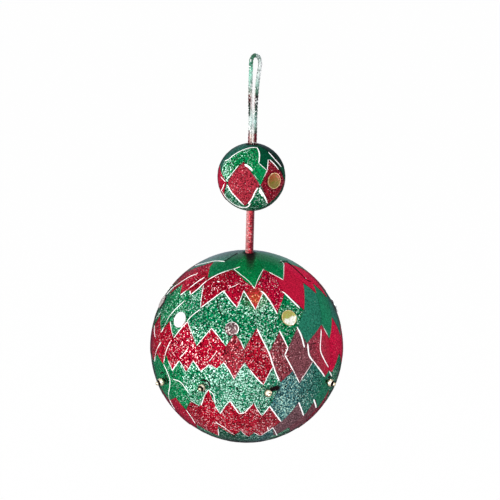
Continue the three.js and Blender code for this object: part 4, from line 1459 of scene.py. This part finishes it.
def makePoleRow(name, values):
    dice = random.Random(name)
    line = corners[values["seam"]]
    levels = [lat * values["sign"] for _, _, lat in line[:-1]]
    around = zip(line, levels[-1:] + levels, levels, levels[1:] + levels[:1])
    notches = [place[0] for place, before, level, after in around if level > max(before, after)]
    cornerColumns = {column + turn for column, _, _ in line for turn in (0, columnCount)}
    pieces = []
    for index, (here, there) in enumerate(zip(notches, notches[1:] + [notches[0] + columnCount])):
        steps = {column for column in cornerColumns if here <= column <= there}
        steps |= {column for column in range(math.ceil(here), there + 1) if column % 2 == 0}
        outline = [seamPlace(line, column) for column in sorted(steps)]
        meets = [1.0] * (len(outline) - 1)
        start, end = outline[0][0], outline[-1][0]
        turn = 360 if there > columnCount else 0
        farSide = values["sides"].get(there % columnCount, [])
        outline += [(lon + turn, lat) for lon, lat in farSide]
        outline += [(end + (start - end) * share, values["hole"]) for share in (0.0, 0.5, 1.0)]
        outline += values["sides"].get(here, [])[::-1]
        meets += [0.0] * (len(outline) - len(meets))
        if values["sign"] < 0:
            outline.reverse()
            # an edge belongs to the corner before it
            meets = meets[-4:-1] + meets[:-4] + meets[-1:]
        muted = poleFinish["muted"] * dice.random()
        sparkle = values["sparkle"] * (1 + poleFinish["moreSparkle"] * dice.random())
        finish = values["own"].get(index, (muted, sparkle, 0.0))
        sheet = sheets["green"]
        pieces.append(addCutPiece(outline, largeBall, cutCounts["pole"], finish, sheet, meets))
    layPieces(pieces, largeBall, name, openEdges, paintedShadowLines)


for rowName, values in poleValues.items():
    makePoleRow(rowName, values)
print("cap and base made")


# Small ball: six diamonds, and petals between their points
smallValues = {
    "pieces": 6,
    "firstDiamond": -14.5,
    "halfWidth": 29.0,
    "sideLatitude": -3.5,
    # two slightly different diamonds take turns: (lean, latitude) of the top and bottom corners
    "tops": [(-2.5, 35.5), (-6.5, 39.0)],
    "shortDiamond": 5,  # counted from 0, the one with this shorter top
    "shortTop": (-6.5, 22.0),
    "bottoms": [(1.0, -47.5), (-3.0, -43.0)],
    "petalSplit": 0.53,
    "petalLean": -10.0,
    "topHole": 79.0,
    "baseHole": -80.0,
}
# Outlines of the four upper petals that the front shows, which were cut one by one
frontPetals = {
    1: [
        (-65.6, 30), (-65, 11), (-44.5, -3.5), (-17, 35.5), (15.5, -3.5), (27.7, 20.9),
        (20.4, 27.8), (14.1, 33.8), (17.1, 43.2), (20.2, 52.3), (21.8, 61.8), (21.2, 68.2),
        (-4.1, 68.2), (-24.1, 63), (-37.7, 55.7), (-49.2, 45.2), (-56.1, 35.6),
    ],
    2: [
        (27.7, 20.9), (39, 39), (75.5, -3.5), (92, 17.2), (67.8, 22.2), (58.2, 35.7), (54.4, 45.1),
        (52.7, 53.4), (48, 66), (44, 79), (8, 79), (21.2, 68.2), (21.8, 61.8), (20.2, 52.3),
        (17.1, 43.2), (14.1, 33.8), (20.4, 27.8),
    ],
    3: [
        (90.5, 17.2), (103, 35.5), (135.5, -3.5), (148.4, 19), (138.4, 79), (80, 79), (44, 79),
        (48, 66), (52.7, 53.4), (54.4, 45.1), (58.2, 35.7), (67.8, 22.2),
    ],
    6: [
        (-91.6, 10), (-81, 22), (-65, 11), (-65.6, 30), (-56.1, 35.6), (-49.2, 45.2),
        (-37.7, 55.7), (-24.1, 63), (-4.1, 68.2), (21.2, 68.2), (8, 79), (-45, 79), (-102, 79),
    ],
}
# Open edges on the small ball, by the node whose piece shows them
smallEdges = {
    "small_upper_petal_1": [
        (0.52, [
            (-65.6, 30.3), (-56.1, 35.6), (-49.2, 45.2), (-37.7, 55.7), (-24.1, 63), (-4.1, 68.2),
            (21.2, 68.2),
        ]),
        (0.64, [(21.2, 68.2), (21.8, 61.8), (20.2, 52.3), (17.1, 43.2), (14.1, 33.8)]),
        (0.44, [(14.1, 33.8), (20.4, 27.8), (27.5, 20.9)]),
    ],
    "small_red_diamond_1": [
        (0.34, [(-25.5, 28.3), (-32.8, 17), (-41.4, 5.7), (-46.1, 0.3)]),
        (1.1, [(-13.7, 30.6), (-5.9, 27), (1.5, 20.8)]),
        (0.29, [(4.4, 14), (11.4, 4.8)]),
        (0.69, [(11.5, -8), (6.8, -16.3), (3.9, -24.9), (-2, -36), (-5.5, -42)]),
        (0.72, [(-43.8, -7.5), (-38.5, -17), (-29.4, -28.4), (-22.6, -37.8), (-16.1, -45.4)]),
    ],
    "small_red_diamond_2": [
        (0.4, [(37.8, 39.5), (32.5, 30.2), (28.7, 20.7)]),
        (0.4, [(28.7, 20.7), (21.9, 10.8), (17.8, 2.8), (14.7, -3.5)]),
        (0.58, [(41.1, 38.8), (48, 30.8), (56, 19.2)]),
        (0.75, [(14.1, -8.3), (22.8, -20.7), (40.6, -41.6)]),
        (1.1, [(14.3, -12.2), (22.6, -24.2)]),
    ],
    "small_upper_petal_2": [
        (0.75, [(52.7, 53.4), (54.4, 45.1), (58.2, 35.7), (67.8, 22.2)]),
    ],
    "small_lower_petal_6": [
        (0.5, [(-51.2, -6.2), (-59.8, -16.4), (-70.1, -22.4)]),
        (0.4, [(-65.1, -21.5), (-61.9, -30.5), (-52.9, -41.9), (-42.9, -50.8), (-25.4, -56.8)]),
    ],
    "small_red_diamond_6": [
        (0.5, [(-62.3, 3.3), (-54.9, 0.1), (-47.5, -3.1)]),
    ],
    "small_lower_petal_1": [
        (0.6, [(-32.9, -49.9), (-26.9, -53.8), (-17.1, -54.6), (-6.5, -49.8), (-1, -40.9)]),
    ],
}
# Finishes of the small ball's pieces: how muted, sparkling, lively and dim each looks, and how much
# its left end has more of the first two; dim is painted shade on the pieces turned from the light
smallFinishes = {
    "red": [
        (0.3, 0.4, 0.1), (0.2, 0.45, 0.1, 0.3), (0.1, 0.4, 0.0), (0.2, 0.4, 0.0), (0.0, 0.4, 0.0),
        (0.1, 0.2, 0.5, 0.2),
    ],
    "upper": [
        (0.0, 0.5, 0.65, 0.0, 2.2), (0.0, 0.03, 0.0, 0.7), (0.0, 0.05, 0.0, 0.97), (0.1, 0.4, 0.0),
        (0.1, 0.4, 0.0), (0.4, 0.2, 0.0, 0.5),
    ],
    "lower": [
        (0.0, 0.7, 0.1, 0.35), (0.0, 0.3, 0.0, 0.7), (0.1, 0.5, 0.0), (0.1, 0.5, 0.0),
        (0.1, 0.5, 0.0), (0.0, 0.9, 0.0, 0.3),
    ],
}
# Painted shade: dark lines round the mouth of the ball, where the cord goes in, and beside two
# white edges
smallPaintedShadows = {
    "small_upper_petal_6": [(1.1, [(-80, 79), (-45, 79), (0, 78.6), (10, 78.2)])],
    "small_upper_petal_2": [(1.1, [(10, 78.2), (24, 78), (44, 78.5)])],
    "small_upper_petal_3": [(0.8, [(57, 54), (58.4, 46), (61.8, 37), (70.4, 24.4)])],
    "small_red_diamond_2": [(0.8, [(46, 38.8), (53, 31), (61, 20), (66.5, 9)])],
}


def diamondCorners(index):
    values = smallValues
    middle = values["firstDiamond"] + index * 360 / values["pieces"]
    isShort = index % values["pieces"] == values["shortDiamond"]
    topLean, top = values["shortTop"] if isShort else values["tops"][index % 2]
    bottomLean, bottom = values["bottoms"][index % 2]
    return {
        "left": (middle - values["halfWidth"], values["sideLatitude"]),
        "top": (middle + topLean, top),
        "right": (middle + values["halfWidth"], values["sideLatitude"]),
        "bottom": (middle + bottomLean, bottom),
    }


def makeSmallPiece(outline, kind, index):
    label, colour = {
        "red": ("red_diamond", "red"), "upper": ("upper_petal", "green"),
        "lower": ("lower_petal", "green"),
    }[kind]
    finish = smallFinishes[kind][index]
    piece = addCutPiece(outline, smallBall, cutCounts["small"], finish, sheets[colour])
    layPieces([piece], smallBall, f"small_{label}_{index + 1}", smallEdges, smallPaintedShadows)


def makeSmallPieces(values):
    for index in range(values["pieces"]):
        here, after = diamondCorners(index), diamondCorners(index + 1)
        meeting = mixPlace(here["right"], after["left"], 0.5)
        makeSmallPiece([here["left"], here["bottom"], here["right"], here["top"]], "red", index)
        start = mixPlace(here["left"], here["top"], values["petalSplit"])
        end = mixPlace(after["left"], after["top"], values["petalSplit"])
        upper = [start, here["top"], meeting, end]
        upper += [(lon + values["petalLean"], values["topHole"]) for lon in (end[0], start[0])]
        makeSmallPiece(frontPetals.get(index + 1, upper), "upper", index)
        lower = [after["bottom"], meeting, here["bottom"]]
        lower += [(lon, values["baseHole"]) for lon in (here["bottom"][0], after["bottom"][0])]
        makeSmallPiece(lower, "lower", index)


makeSmallPieces(smallValues)
print("small ball made")


# Mirror discs: a flat back, a turned rim and a low dome
discValues = {
    "sides": 40,
    "smooth": 40,  # degrees
    "edge": 0.6 * mm,
    "rim": 0.32 * mm,
    # width and rise of each ring inside the rim, in mm: a step down, then the dome
    "rings": [(0.12, -0.14), (0.7, 0.18), (0.9, 0.14), (1.0, 0.08), (0.9, 0.04)],
    "rounding": (0.06 * mm, 2, 50),
    "seat": 0.12 * mm,  # of the back above the ball
    # longitude, latitude, radius and foil of each disc
    "large": [
        (-47.7, 23.9, 4.1 * mm, "silverFoil"), (-9.6, 23.3, 3.6 * mm, "mauveFoil"),
        (28.4, 29.4, 4.1 * mm, "goldFoil"), (100, 25, 4.1 * mm, "silverFoil"),
        (144, 23.5, 3.6 * mm, "mauveFoil"), (188, 26, 4.1 * mm, "goldFoil"),
        (232, 24, 4.1 * mm, "silverFoil"), (278, 28, 3.6 * mm, "mauveFoil"),
    ],
    "small": [(40, 2.4, 4.1 * mm, "bronzeFoil"), (220, 3, 4.1 * mm, "bronzeFoil")],
    "rims": {"bronzeFoil": "rimFoil", "goldFoil": "rimFoil", "mauveFoil": "mauveRim"},
}


def makeDisc(values, name, longitude, latitude, radius, foil, ball):
    deselectAll()
    bpy.ops.mesh.primitive_circle_add(vertices=values["sides"], radius=radius, fill_type="NGON")
    obj = named(name)
    editOn(obj)
    bpy.ops.mesh.select_all(action="SELECT")
    bpy.ops.mesh.extrude_region_move(TRANSFORM_OT_translate={"value": (0, 0, values["edge"])})
    bpy.ops.mesh.inset(thickness=values["rim"])
    for width, rise in values["rings"]:
        bpy.ops.mesh.inset(thickness=width * mm, depth=rise * mm)
    bpy.ops.mesh.poke()
    faceOutwards()
    editOff()
    roundEdges(obj, *values["rounding"])
    smooth(obj, values["smooth"])
    for label in (foil, values["rims"].get(foil, foil)):
        obj.data.materials.append(foils[label])
    for polygon in obj.data.polygons:
        onRim = Vector(polygon.center[:2]).length > radius - values["rim"]
        polygon.material_index = 1 if onRim else 0
    standOnBall(obj, longitude, latitude, ball, ball["radius"] + values["seat"])
    return obj


def placeDiscs(values):
    for i, place in enumerate(values["large"], 1):
        disc = makeDisc(values, f"mirrorDisc_{i}", *place, largeBall)
        joinFrame(disc, "large_ball", f"mirror_disc_{i}")
    for i, place in enumerate(values["small"], 1):
        disc = makeDisc(values, f"smallMirrorDisc_{i}", *place, smallBall)
        joinFrame(disc, "small_ball", f"small_disc_{i}")


placeDiscs(discValues)
print("discs made")


# Gold beads on their pins
beadValues = {
    "segments": 32,
    "rings": 18,
    "smooth": 50,
    "radius": 2.1 * mm,
    "hole": 0.735 * mm,
    "rounding": (0.1 * mm, 2, 45),
    "seat": 0.2 * mm,
    "pinSides": 16,
    "pinSmooth": 40,
    "pinRadius": 0.4 * mm,
    "pinDepth": 11.0 * mm,
    "headRadius": 0.95 * mm,
    "headEdge": 0.21 * mm,
    "headRings": [(0.12, 0.28), (0.22, 0.22), (0.3, 0.12)],  # width and rise in mm
    "tipShare": 0.2,  # of the pin's width, at its tip
    "places": [
        (-58.5, -15), (-25.4, -11.8), (13, -12.9), (57.5, -12.3), (117, -13), (158, -12),
        (201, -13.5), (245, -12),
    ],
    "paintedHoleShade": [1, 2, 4, 6, 7],  # beads with painted shade, dark round the hole under the pin's head
    "holeShadeRadius": 1.5 * mm,
}


def makeBeadPattern(values):
    deselectAll()
    bpy.ops.mesh.primitive_uv_sphere_add(
        segments=values["segments"], ring_count=values["rings"], radius=values["radius"],
    )
    obj = named("beadPattern")
    editOn(obj)
    selectFaces(obj, lambda face: Vector(face.center[:2]).length < values["hole"])
    openThrough()
    roundEdges(obj, *values["rounding"])
    smooth(obj, values["smooth"])
    return obj


def makePinPattern(values):
    deselectAll()
    length = values["pinDepth"] + 2 * values["radius"] + 2 * values["seat"]
    top = length - values["pinDepth"]
    bpy.ops.mesh.primitive_cylinder_add(
        vertices=values["pinSides"], radius=values["pinRadius"], depth=length,
        location=(0, 0, length / 2 - values["pinDepth"]),
    )
    obj = named("pinPattern")
    applyPlace(obj)
    editOn(obj)
    selectFaces(obj, lambda face: face.normal.z > levelFace)
    wider = values["headRadius"] / values["pinRadius"]
    bpy.ops.mesh.extrude_region_move()
    bpy.ops.transform.resize(value=(wider, wider, 1))
    bpy.ops.mesh.extrude_region_move(TRANSFORM_OT_translate={"value": (0, 0, values["headEdge"])})
    for width, rise in values["headRings"]:
        bpy.ops.mesh.inset(thickness=width * mm, depth=rise * mm)
    bpy.ops.mesh.poke()
    lowEnd = top - values["pinDepth"]
    selectFaces(obj, lambda face: face.normal.z < -levelFace and face.center.z < lowEnd)
    bpy.ops.mesh.extrude_region_move()
    bpy.ops.transform.resize(value=(values["tipShare"], values["tipShare"], 1))
    faceOutwards()
    editOff()
    smooth(obj, values["pinSmooth"])
    return obj


def placeBeads(values):
    bead, pin = makeBeadPattern(values), makePinPattern(values)
    height = largeBall["radius"] + values["seat"] + values["radius"]
    for i, place in enumerate(values["places"], 1):
        thisBead = copyOf(bead, f"goldBead_{i}")
        thisBead.data.materials.append(beadGold)
        thisBead.data.materials.append(paintedShadowStrip)
        for polygon in thisBead.data.polygons:
            near = Vector(polygon.center[:2]).length < values["holeShadeRadius"]
            paintedHoleShade = i in values["paintedHoleShade"] and near and polygon.center.z > 0
            polygon.material_index = 1 if paintedHoleShade else 0
        standOnBall(thisBead, *place, largeBall, height)
        joinFrame(thisBead, "large_ball", f"gold_bead_{i}")
        thisPin = copyOf(pin, f"beadPin_{i}")
        standOnBall(thisPin, *place, largeBall, largeBall["radius"])
        thisPin.data.materials.append(pinBrass)
        joinFrame(thisPin, "large_ball", f"bead_pin_{i}")
    remove(bead)
    remove(pin)


placeBeads(beadValues)
print("beads made")


# Spacer tube: rolled glitter paper
tubeValues = {
    "outer": 2.1 * mm, "inner": 1.8 * mm, "bottom": -0.1128, "top": -0.071, "sides": 48,
    "smooth": 40,
}


def makeTube(values):
    deselectAll()
    bpy.ops.mesh.primitive_cylinder_add(
        vertices=values["sides"], radius=values["outer"], depth=values["top"] - values["bottom"],
        end_fill_type="NGON", location=(0, 0, (values["top"] + values["bottom"]) / 2),
    )
    obj = named("glitterTube")
    applyPlace(obj)
    editOn(obj)
    selectFaces(obj, lambda face: abs(face.normal.z) > levelFace)
    bpy.ops.mesh.inset(thickness=values["outer"] - values["inner"], use_individual=True)
    openThrough()
    smooth(obj, values["smooth"])
    obj.data.materials.append(tubeGlitter)
    joinFrame(obj, "large_ball", "spacer_tube")


makeTube(tubeValues)
print("tube made")


# Cord: three plies twisted together, led along the same route as in the frame
cordValues = {
    "diameter": 2.3 * mm,
    "pitch": 5.5 * mm,  # one turn of the plies
    "lobes": 0.08,  # how far the plies stand out, as a share of the cord's half width
    "sides": 18,
    "smooth": 70,
    "merge": 1e-6,  # metres within which two points become one
    "rise": 44.0 * mm,
    "start": -44.0 * mm,  # height of the small ball's top
    "step": 0.6 * mm,
    # share of the rise, distance from the middle in mm, turn in degrees, lean to the right in mm
    "stations": [
        (-1.5 / 44, 1.3, 0, 0), (0.05, 1.22, 0, 0), (0.18, 1.2, 0, 0), (0.3, 1.22, 0, -0.1),
        (0.43, 1.4, 0, -0.2), (0.54, 1.55, 6, -0.2), (0.65, 1.8, 18, -0.1), (0.76, 2.25, 32, 0.1),
        (0.86, 2.9, 42, 0.4), (0.935, 3.3, 46, 0.5), (0.993, 2.6, 46, 0.3),
    ],
}


def loopPoint(share, distance, turn, lean, side):
    angle = math.radians(turn)
    return Vector((
        side * distance * mm * math.cos(angle) + lean * mm,
        side * distance * mm * math.sin(angle),
        cordValues["start"] + share * cordValues["rise"],
    ))


def lineCurve(name, places, dimensions="3D", closed=False):
    curve = bpy.data.curves.new(name, "CURVE")
    curve.dimensions = dimensions
    spline = curve.splines.new("POLY")
    spline.points.add(len(places) - 1)
    spline.use_cyclic_u = closed
    for point, place in zip(spline.points, places):
        point.co = (*place, 1)
    return curve


def cordMesh(name, curve):
    choose(newObject(name, curve))
    bpy.ops.object.convert(target="MESH")
    obj = named(name)
    obj.data.materials.append(cordGlitter)
    return obj


# Twisted plies as one mesh: a three-lobed section that turns along the line
def twistedCord(name, line, total):
    section = []
    for i in range(cordValues["sides"]):
        angle = 2 * math.pi * i / cordValues["sides"]
        swell = 1 - cordValues["lobes"] + cordValues["lobes"] * math.cos(3 * angle)
        reach = cordValues["diameter"] / 2 * swell
        section.append((reach * math.cos(angle), reach * math.sin(angle), 0))
    profile = newObject(name + "Profile", lineCurve(name + "Profile", section, "2D", closed=True))
    path = lineCurve(name, line)
    for i, point in enumerate(path.splines[0].points):
        point.tilt = 2 * math.pi * (total * i / (len(line) - 1)) / cordValues["pitch"]
    path.bevel_mode = "OBJECT"
    path.bevel_object = profile
    path.use_fill_caps = True
    obj = cordMesh(name, path)
    bpy.data.objects.remove(profile)
    editOn(obj)
    bpy.ops.mesh.select_all(action="SELECT")
    bpy.ops.mesh.remove_doubles(threshold=cordValues["merge"])
    faceOutwards()
    editOff()
    smooth(obj, cordValues["smooth"])
    return obj


def makeLoop(values):
    left = [loopPoint(*station, -1) for station in values["stations"]]
    right = [loopPoint(*station, 1) for station in reversed(values["stations"])]
    crown = Vector((0, 0, values["diameter"] / 2))
    line, total = smoothLine(left + [crown] + right, values["step"])
    loop = twistedCord("hangingLoop", line, total)
    joinFrame(loop, "cord", "hanging_loop")
    print("loop length", round(total, 4))


makeLoop(cordValues)


# The two strands inside the balls, squeezed narrow below the small ball's mouth
strandValues = {
    "start": -45.8 * mm,
    "narrow": -49.0 * mm,  # height at which a strand is fully squeezed
    "end": -197.5 * mm,
    "stations": [0, 1, 2, 3, 4, 6, 10, 30, 60, 90, 120],  # mm below the start
    "step": 0.8 * mm,
    "spread": 1.3 * mm,
    "width": 0.62,  # share of its width that a strand keeps
    "depth": 1.1,  # and what it gains from front to back
}


def smoothStep(value, low, high):
    share = max(0.0, min(1.0, (value - low) / (high - low)))
    return share * share * (3 - 2 * share)


def makeInnerStrand(values, side, node, name):
    heights = [values["start"] - station * mm for station in values["stations"]] + [values["end"]]
    places = [Vector((side * values["spread"], 0, height)) for height in heights]
    strand = twistedCord(name, *smoothLine(places, values["step"]))
    for vertex in strand.data.vertices:
        opened = smoothStep(vertex.co.z, values["narrow"], values["start"])
        vertex.co.x *= values["width"] + (1 - values["width"]) * opened
        vertex.co.y *= values["depth"] + (1 - values["depth"]) * opened
    joinFrame(strand, "cord", node)


makeInnerStrand(strandValues, -1, "cord_strand_left", "innerStrandLeft")
makeInnerStrand(strandValues, 1, "cord_strand_right", "innerStrandRight")
print("cord made")


# The knot under the washer: the doubled cord turned round itself and drawn tight
knotValues = {
    "bottom": -201.4 * mm,
    "height": 3.6 * mm,
    "radius": 3.1 * mm,
    "strand": 0.85 * mm,
    "points": 96,
    "resolution": 3,  # of the strand's round section
    "drawnIn": 0.38,  # how far the turns pass inside and outside their middle line
}


def makeKnot(values):
    middle = values["bottom"] + values["height"] / 2
    ring = values["radius"] - values["strand"]
    rise = values["height"] / 2 - values["strand"]
    places = []
    for i in range(values["points"]):
        t = 2 * math.pi * i / values["points"]
        swell = ring * (1 - values["drawnIn"] + values["drawnIn"] * math.cos(3 * t))
        places.append((
            swell * math.cos(2 * t), swell * math.sin(2 * t), middle + rise * math.sin(3 * t),
        ))
    path = lineCurve("endKnot", places, closed=True)
    path.bevel_depth = values["strand"]
    path.bevel_resolution = values["resolution"]
    knot = cordMesh("endKnot", path)
    smooth(knot, cordValues["smooth"])
    joinFrame(knot, "cord", "end_knot")


makeKnot(knotValues)

# The frame's own nodes that stay in view get their finishes
frameFinishes = {"large_core": foam, "small_core": foam, "end_washer": washerSteel}
for nodeName, material in frameFinishes.items():
    node = bpy.data.objects[nodeName]
    node.data.materials.clear()
    node.data.materials.append(material)
print("knot, cores and washer made")


# Floor, light and surroundings
studioValues = {
    "aim": -0.13,  # height that the lamps and the card face
    "worldLight": 0.3,
    "floor": {
        "height": -0.42,
        "size": 12.0,
        "grain": 3.0,
        "colours": ((0.86, 0.86, 0.86), (0.9, 0.9, 0.9)),
        "roughness": 0.9,
        "glow": 0.99,  # share of the floor that is seen as plain white
    },
    # a black card that only shows as a reflection, so that metal has a dark side
    "card": {
        "place": (1.0, -0.85, -0.5), "size": 1.4, "colour": (0.01, 0.01, 0.01), "roughness": 0.9,
    },
}
# place, size, power and colour
lampValues = {
    "keyLamp": ((-0.75, -0.95, -0.12), 0.1, 8.5, (1.0, 0.98, 0.95)),
    "fillLamp": ((0.1, -1.4, 0.5), 0.9, 6.5, (1.0, 1.0, 1.0)),
    "topLamp": ((0.0, 0.35, 1.0), 0.5, 5.0, (0.9, 0.88, 1.0)),
    "rimLamp": ((1.0, 0.2, 0.1), 0.6, 3.0, (1.0, 0.85, 0.95)),
    "backLamp": ((-0.8, 0.9, 0.5), 0.8, 5.0, (1.0, 1.0, 1.0)),
}


# The turn that points an axis of something at this place to the ornament
def turnToOrnament(place, axis):
    aim = Vector((0, 0, studioValues["aim"]))
    return (aim - Vector(place)).to_track_quat(axis, "Y").to_euler()


def addLamp(name, place, size, power, colour):
    data = bpy.data.lights.new(name, "AREA")
    data.shape = "DISK"
    data.size = size
    data.energy = power
    data.color = colour
    lamp = newObject(name, data)
    lamp.location = place
    lamp.rotation_euler = turnToOrnament(place, "-Z")


def addCard(values):
    deselectAll()
    bpy.ops.mesh.primitive_plane_add(
        size=values["size"], location=values["place"],
        rotation=turnToOrnament(values["place"], "Z"),
    )
    card = named("blackCard")
    material, tree, shader = newMaterial("blackCard")
    feedAll(tree, shader, {"Base Color": values["colour"], "Roughness": values["roughness"]})
    card.data.materials.append(material)
    card.visible_camera = False
    card.visible_diffuse = False
    card.visible_shadow = False
    card.visible_transmission = False


# 1 for the rays named, 0 for others
def isRay(tree, first, *others):
    path = tree.nodes.new("ShaderNodeLightPath")
    seen = path.outputs[first]
    for label in others:
        seen = mathNode(tree, "MAXIMUM", seen, path.outputs[label])
    return seen


def mixShaders(tree, share, first, second):
    node = tree.nodes.new("ShaderNodeMixShader")
    for socket, source in zip(node.inputs, (share, first, second)):
        wire(tree, source, socket)
    return node.outputs[0]


def addFloor(values):
    deselectAll()
    bpy.ops.mesh.primitive_plane_add(size=values["size"], location=(0, 0, values["height"]))
    floor = named("paleFloor")
    applyPlace(floor)
    material, tree, shader = newMaterial("paleFloor")
    grain = noiseNode(tree, objectPlace(tree), values["grain"], detail=2.0)
    feedAll(tree, shader, {
        "Base Color": mixColour(tree, grain, *values["colours"]),
        "Roughness": values["roughness"],
    })
    glow = tree.nodes.new("ShaderNodeEmission")
    glow.inputs["Strength"].default_value = 1.0
    seen = times(tree, isRay(tree, "Is Camera Ray", "Is Glossy Ray"), values["glow"])
    blend = mixShaders(tree, seen, shader.outputs[0], glow.outputs[0])
    # clear from below, so that it never hides the object
    below = tree.nodes.new("ShaderNodeNewGeometry").outputs["Backfacing"]
    clear = tree.nodes.new("ShaderNodeBsdfTransparent")
    surface = mixShaders(tree, below, blend, clear.outputs[0])
    wire(tree, surface, tree.nodes["Material Output"].inputs["Surface"])
    floor.data.materials.append(material)


def makeStudio(values):
    for name, lamp in lampValues.items():
        addLamp(name, *lamp)
    addFloor(values["floor"])
    addCard(values["card"])
    world = bpy.data.worlds.new("whiteStudio")
    bpy.context.scene.world = world
    world.use_nodes = True
    tree = world.node_tree
    seen = isRay(tree, "Is Camera Ray", "Is Glossy Ray", "Is Transmission Ray")
    strength = spread(tree, seen, 0.0, 1.0, values["worldLight"], 1.0)
    feedAll(tree, tree.nodes["Background"], {"Color": (1.0, 1.0, 1.0), "Strength": strength})


makeStudio(studioValues)
bpy.context.scene.view_settings.view_transform = "Standard"
print("studio made")
